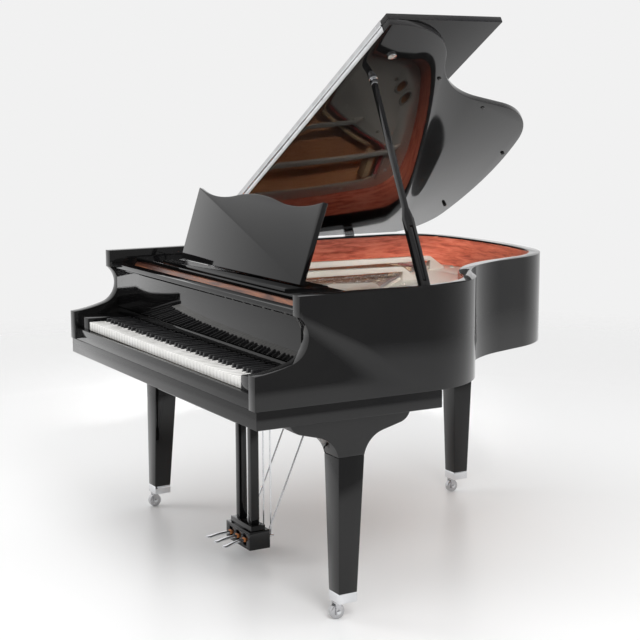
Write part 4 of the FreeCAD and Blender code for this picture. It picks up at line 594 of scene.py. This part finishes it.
def makePlateTrim():
    look = plateLook
    low, high = stringBottom - look["feltLow"], stringBottom - look["feltHigh"]
    rings = []
    for x, near, far in courses[::look["feltStep"]] + courses[-1:]:
        hitch = far - stringLook["tail"]
        front, back = hitch - look["feltFront"], hitch + look["feltBack"]
        rings.append([(x, front, low), (x, back, low), (x, back, high), (x, front, high)])
    felt = ringPiece("hitch_felt", rings)
    bevelEdges(felt, *look["feltEase"])
    smoothByAngle(felt, look["feltSmooth"])
    finishPiece(felt, redFelt, "case")
    webTop = stringBottom - look["webDrop"]
    places = [(x, frontLine + y, webTop) for x, y in look["bolts"]]
    places += [(courses[note][0], courses[note][2] + look["boltInset"], webTop) for note in look["boltNotes"]]
    scatterCopies("plate_bolts", turnedPiece("bolt", boltLook), eachAt(places), paintedIron, "case")
    lips = []
    for x, y in look["portholes"]:
        centre = (x, frontLine + y, webTop)
        around, across = look["lipSegments"]
        deselectAll()
        bpy.ops.mesh.primitive_torus_add(major_radius=look["lipRadius"], minor_radius=look["lipHalf"],
                                         major_segments=around, minor_segments=across, location=centre)
        lip = bpy.context.object
        editAll()
        bpy.ops.transform.resize(value=(1, 1, look["lipFlat"]), center_override=centre)
        objectMode()
        lips.append(lip)
    rims = joinPieces("porthole_lips", lips)
    pointOutwards(rims)
    smoothByAngle(rims, look["lipSmooth"])
    finishPiece(rims, paintedIron, "case")
    print("plate trimmed:", len(places), "bolts")


makePlateTrim()


# lid: leaves of the long hinge, and rubber buttons that keep it off the rim

lidLook = {"hinge": (-0.7523, frontLine, 0.981), "angle": 30.3,
           "leafX": (0.0373, 1.4673), "leafY": (0.558, 0.5599), "leafEase": 0.0004,
           "leaves": {"lid_leaf": ("lid", 0.0008, 0.0078), "flap_leaf": ("lid_flap", 0.0240, 0.0398)},
           "screwRows": {"lid_leaf_screws": ("lid", 0.0140), "flap_leaf_screws": ("lid_flap", 0.0320)},
           "screwStep": 0.065, "screws": 22,
           "buttons": [(0.263, 1.208), (-0.077, 1.515), (-0.507, 1.509), (0.452, 0.915)]}
screwLook = {"sides": 10, "smooth": 40, "steps": [(0, 0.0034), (0.0004, 0.0034), (0.0008, 0.0024)]}
buttonLook = {"sides": 20, "smooth": 60,
              "steps": [(0, 0.0070), (0.0010, 0.0070), (0.0036, 0.0064), (0.0050, 0.0048), (0.0055, 0.0020)]}
lidPlace = Matrix.Translation(lidLook["hinge"]) @ Matrix.Rotation(-math.radians(lidLook["angle"]), 4, "Y")


def makeLidTrim():
    look = lidLook
    (startX, endX), (frontY, backY) = look["leafX"], look["leafY"]
    for name, (body, low, high) in look["leaves"].items():
        leaf = addBlock(name, (startX, frontY, low), (endX, backY, high), look["leafEase"])
        leaf.matrix_world = lidPlace
        settle(leaf)
        smoothByAngle(leaf, crispAngle)
        finishPiece(leaf, satinMetal, body)
    facing = Matrix.Rotation(math.radians(90), 4, "X")
    middles = [startX + look["screwStep"] * (number + 0.5) for number in range(look["screws"])]
    for name, (body, height) in look["screwRows"].items():
        places = [lidPlace @ Matrix.Translation((x, frontY, height)) @ facing for x in middles]
        scatterCopies(name, turnedPiece("screw", screwLook), places, polishedChrome, body)
    downwards = Matrix.Rotation(math.pi, 4, "X")
    spots = [(x - look["hinge"][0], y, 0) for x, y in look["buttons"]]
    places = [lidPlace @ Matrix.Translation(spot) @ downwards for spot in spots]
    scatterCopies("lid_buttons", turnedPiece("button", buttonLook), places, blackRubber, "lid")
    print("lid trimmed")


makeLidTrim()


# prop: the short stick in its slot and the metal shoe at its tip

propLook = {"foot": (0.684, frontLine + 0.602, 0.962), "cupReach": 1.212, "cupDepth": 0.656, "ease": 0.0009,
            "stick": (0.030, 0.206), "stickHalf": (0.0052, 0.0062),
            "shoe": (0.716, 0.7332), "shoeHalf": (0.0085, 0.0090)}


def propLath(name, run, half):
    look = propLook
    foot = Vector(look["foot"])
    cup = lidPlace @ Vector((look["cupReach"], look["cupDepth"], 0))
    along = (cup - foot).normalized()
    across = Vector((1, 0, 0)).cross(along).normalized() * -1
    through = across.cross(along).normalized()
    corners = [(-1, -1), (1, -1), (1, 1), (-1, 1)]
    rings = []
    for distance in run:
        middle = foot + along * distance
        rings.append([middle + across * (half[0] * a) + through * (half[1] * b) for a, b in corners])
    lath = ringPiece(name, rings)
    bevelEdges(lath, look["ease"])
    smoothByAngle(lath, crispAngle)
    return lath


shortProp = propLath("short_prop", propLook["stick"], propLook["stickHalf"])
finishPiece(shortProp, blackLacquer, "prop")
propShoe = propLath("prop_shoe", propLook["shoe"], propLook["shoeHalf"])
finishPiece(propShoe, polishedChrome, "prop")
print("prop fitted")


# pedals: slim levers that swell and dip towards a round tip, with a felt collar in each opening

# each pedal's place across and how far its tip sweeps sideways
pedalLook = {"places": {"pedal_left": (-0.052, -0.012), "pedal_middle": (0.0, 0.0),
                        "pedal_right": (0.052, 0.012)},
             "pivot": 0.066, "corners": 16, "square": 0.62, "smooth": 50}
collarLook = {"half": 0.0088, "depth": (0.2985, 0.3065), "height": (0.0597, 0.0727), "ease": 0.0016,
              "smooth": 40}
# depth, share of the sideways sweep, height above the pivot, half width, half thickness
pedalRings = [(0.412, 0, 0, 0.0078, 0.0038), (0.411, 0, 0, 0.0080, 0.0040), (0.362, 0, 0, 0.0080, 0.0048),
              (0.352, 0, 0, 0.0080, 0.0078), (0.338, 0, 0, 0.0080, 0.0078), (0.328, 0, 0, 0.0080, 0.0048),
              (0.300, 0, 0, 0.0078, 0.0042), (0.286, 0.14, -0.0006, 0.0066, 0.0046),
              (0.268, 0.40, -0.0026, 0.0072, 0.0046), (0.250, 0.68, -0.0056, 0.0094, 0.0042),
              (0.236, 0.86, -0.0080, 0.0114, 0.0038), (0.226, 0.96, -0.0092, 0.0120, 0.0036),
              (0.220, 1.0, -0.0092, 0.0104, 0.0033), (0.2165, 1.0, -0.0088, 0.0070, 0.0027),
              (0.2155, 1.0, -0.0086, 0.0030, 0.0015)]


def squareRing(centre, halfWidth, halfHeight):
    # between a round and a square, across the lever
    ring = []
    for turn in circleTurns(pedalLook["corners"]):
        side, rise = math.cos(turn), math.sin(turn)
        side = math.copysign(abs(side) ** pedalLook["square"], side)
        rise = math.copysign(abs(rise) ** pedalLook["square"], rise)
        ring.append((centre[0] + halfWidth * side, centre[1], centre[2] + halfHeight * rise))
    return ring


def makePedals():
    look, collar = pedalLook, collarLook
    for node, (x, sweep) in look["places"].items():
        rings = []
        for depth, share, rise, halfWidth, halfHeight in pedalRings:
            centre = (x + sweep * share, frontLine + depth, look["pivot"] + rise)
            rings.append(squareRing(centre, halfWidth, halfHeight))
        pedal = ringPiece(node + ".lever", rings)
        smoothByAngle(pedal, look["smooth"])
        finishPiece(pedal, polishedChrome, bodyOf[node])
        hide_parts(node)
        low = (x - collar["half"], frontLine + collar["depth"][0], collar["height"][0])
        high = (x + collar["half"], frontLine + collar["depth"][1], collar["height"][1])
        felt = addBlock(node + "_felt", low, high, collar["ease"])
        smoothByAngle(felt, collar["smooth"])
        finishPiece(felt, orangeFelt, bodyOf[node])
    print("pedals shaped")


makePedals()


# casters: domed caps on the ends of the axles

capLook = {"sides": 16, "smooth": 40,
           "steps": [(0, 0.0072), (0.0012, 0.0072), (0.0024, 0.0058), (0.0031, 0.0030)]}


def makeAxleCaps():
    for corner in casterCorners:
        forkLow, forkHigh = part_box("caster_fork_" + corner)
        wheelLow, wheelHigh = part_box("caster_wheel_" + corner)
        y, z = (wheelLow[1] + wheelHigh[1]) / 2, (wheelLow[2] + wheelHigh[2]) / 2
        places = [Matrix.Translation((x, y, z)) @ Matrix.Rotation(math.radians(turn), 4, "Y")
                  for x, turn in [(forkHigh[0], 90), (forkLow[0], -90)]]
        scatterCopies("axle_caps_" + corner, turnedPiece("cap", capLook), places, polishedChrome,
                      bodyOf["caster_fork_" + corner])
    print("axles capped")


makeAxleCaps()


# shelf: a sloped board under its front edge closes the gap behind the fallboard

boardLook = {"half": 0.7035, "foot": (0.2045, 0.8850), "head": (0.2500, 0.9347), "depth": 0.0060,
             "ease": 0.0008}


def makeSlopedBoard():
    look = boardLook
    (footY, footZ), (headY, headZ) = look["foot"], look["head"]
    rings = []
    for x in (-look["half"], look["half"]):
        rings.append([(x, frontLine + footY, footZ), (x, frontLine + footY + look["depth"], footZ),
                      (x, frontLine + headY + look["depth"], headZ), (x, frontLine + headY, headZ)])
    board = ringPiece("sloped_board", rings)
    bevelEdges(board, look["ease"])
    smoothByAngle(board, crispAngle)
    # the board's darker veneer is painted shade, not a darker wood
    finishPiece(board, paintedShadeVeneer, "case")


makeSlopedBoard()


# keyboard: two black rails close the gap under the fallboard, clear of its swing

railLook = {"half": 0.7048, "ease": 0.0008,
            "front": ((0.1730, 0.1790), (0.7395, 0.7692)), "back": ((0.2030, 0.2090), (0.7400, 0.8862))}


def makeNameRails():
    look = railLook
    for side in ["front", "back"]:
        depth, height = look[side]
        low = (-look["half"], frontLine + depth[0], height[0])
        high = (look["half"], frontLine + depth[1], height[1])
        rail = addBlock("name_rail_" + side, low, high, look["ease"])
        smoothByAngle(rail, crispAngle)
        finishPiece(rail, blackLacquer, "case")
    print("board and rails added")


makeNameRails()


# floor, backdrop and light

floorLook = {"radius": 14.0, "sides": 96, "dark": (0.89, 0.89, 0.89), "light": (0.90, 0.90, 0.90),
             "rough": 0.32, "specular": 0.35, "cloud": (0.8, 2.0), "fade": (3.0, 5.6)}
worldLook = {"bright": 0.88, "dim": 0.36, "turnover": (-0.3, 0.8), "lighting": 0.78}
lampLook = {
    "ceilingPanel": {"place": (0.4, -1.0, 4.8), "aim": (0, -0.2, 0.4), "size": (4.0, 3.0), "power": 55,
                     "spread": 180},
    "leftPanel": {"place": (-3.0, -3.2, 2.6), "aim": (0, 0, 0.8), "size": (1.8, 2.4), "power": 35,
                  "spread": 180},
    "rightPanel": {"place": (3.6, -0.9, 3.3), "aim": (-0.1, 0.35, 0.85), "size": (1.6, 1.4), "power": 80,
                   "spread": 180},
    "innerPanel": {"place": (2.7, -0.7, 3.4), "aim": (-0.62, 0.32, 0.98), "size": (0.5, 0.4), "power": 6.2,
                   "spread": 22}}


def makeFloor():
    # pale, and fading out so that no edge shows
    look = floorLook
    deselectAll()
    bpy.ops.mesh.primitive_circle_add(vertices=look["sides"], radius=look["radius"], fill_type="NGON",
                                      location=(0, 0, 0))
    floor = bpy.context.object
    floor.name = "floor"
    finish, tree, shader = newFinish("paleFloor", look["rough"])
    shader.inputs["Specular IOR Level"].default_value = look["specular"]
    cloud = noisePattern(tree, surfacePoint(tree), *look["cloud"])
    tree.links.new(twoShades(tree, cloud, look), shader.inputs["Base Color"])
    length = tree.nodes.new("ShaderNodeVectorMath")
    length.operation = "LENGTH"
    tree.links.new(surfacePoint(tree), length.inputs[0])
    cover = numberRange(tree, length.outputs["Value"], 1.0, 0.0, *look["fade"])
    tree.links.new(cover, shader.inputs["Alpha"])
    floor.data.materials.append(finish)


def largerOf(tree, first, second):
    larger = tree.nodes.new("ShaderNodeMath")
    larger.operation = "MAXIMUM"
    tree.links.new(first, larger.inputs[0])
    tree.links.new(second, larger.inputs[1])
    return larger.outputs[0]


def makeWorld():
    # bright on the side the camera looks towards, dimmer behind it to the right
    look = worldLook
    world = bpy.data.worlds.new("paleStudio")
    scene.world = world
    world.use_nodes = True
    tree = world.node_tree
    seen = tree.nodes["Background"]
    direction = tree.nodes.new("ShaderNodeTexCoord")
    parts = tree.nodes.new("ShaderNodeSeparateXYZ")
    tree.links.new(direction.outputs["Generated"], parts.inputs["Vector"])
    tree.links.new(numberRange(tree, parts.outputs["X"], look["bright"], look["dim"], *look["turnover"]),
                   seen.inputs["Color"])
    light = tree.nodes.new("ShaderNodeBackground")
    light.inputs["Color"].default_value = (1, 1, 1, 1)
    light.inputs["Strength"].default_value = look["lighting"]
    path = tree.nodes.new("ShaderNodeLightPath")
    clear = largerOf(tree, path.outputs["Is Camera Ray"], path.outputs["Is Glossy Ray"])
    clear = largerOf(tree, clear, path.outputs["Is Transmission Ray"])
    mix = tree.nodes.new("ShaderNodeMixShader")
    tree.links.new(clear, mix.inputs["Fac"])
    tree.links.new(light.outputs["Background"], mix.inputs[1])
    tree.links.new(seen.outputs["Background"], mix.inputs[2])
    tree.links.new(mix.outputs["Shader"], tree.nodes["World Output"].inputs["Surface"])


def makeLight(name, look):
    deselectAll()
    bpy.ops.object.light_add(type="AREA", location=look["place"])
    lamp = bpy.context.object
    lamp.name = name
    lamp.data.shape = "RECTANGLE"
    lamp.data.size, lamp.data.size_y = look["size"]
    lamp.data.energy = look["power"]
    lamp.data.spread = math.radians(look["spread"])
    lamp.visible_glossy = False  # the lacquer mirrors the pale world alone
    lamp.rotation_mode = "QUATERNION"
    lamp.rotation_quaternion = (Vector(look["aim"]) - Vector(look["place"])).to_track_quat("-Z", "Y")


makeFloor()
makeWorld()
for name, look in lampLook.items():
    makeLight(name, look)
print("floor, world and lamps set")


# the camera stands where the photograph was taken from

cameraLook = {"place": (4.1858, -2.5109, 1.5151), "yaw": 1.0574, "pitch": 0.1522, "roll": -0.0041,
              "lens": 80.0, "sensor": 36.0}


def makeCamera():
    yaw, pitch, roll = cameraLook["yaw"], cameraLook["pitch"], cameraLook["roll"]
    ahead = Vector((-math.sin(yaw) * math.cos(pitch), math.cos(yaw) * math.cos(pitch), -math.sin(pitch)))
    level = Vector((math.cos(yaw), math.sin(yaw), 0))
    rise = level.cross(ahead)
    right = level * math.cos(roll) + rise * math.sin(roll)
    up = rise * math.cos(roll) - level * math.sin(roll)
    deselectAll()
    bpy.ops.object.camera_add()
    camera = bpy.context.object
    camera.data.lens = cameraLook["lens"]
    camera.data.sensor_width = cameraLook["sensor"]
    turn = Matrix((right, up, -ahead)).transposed().to_4x4()
    camera.matrix_world = Matrix.Translation(cameraLook["place"]) @ turn
    scene.camera = camera


makeCamera()
bpy.context.view_layer.update()
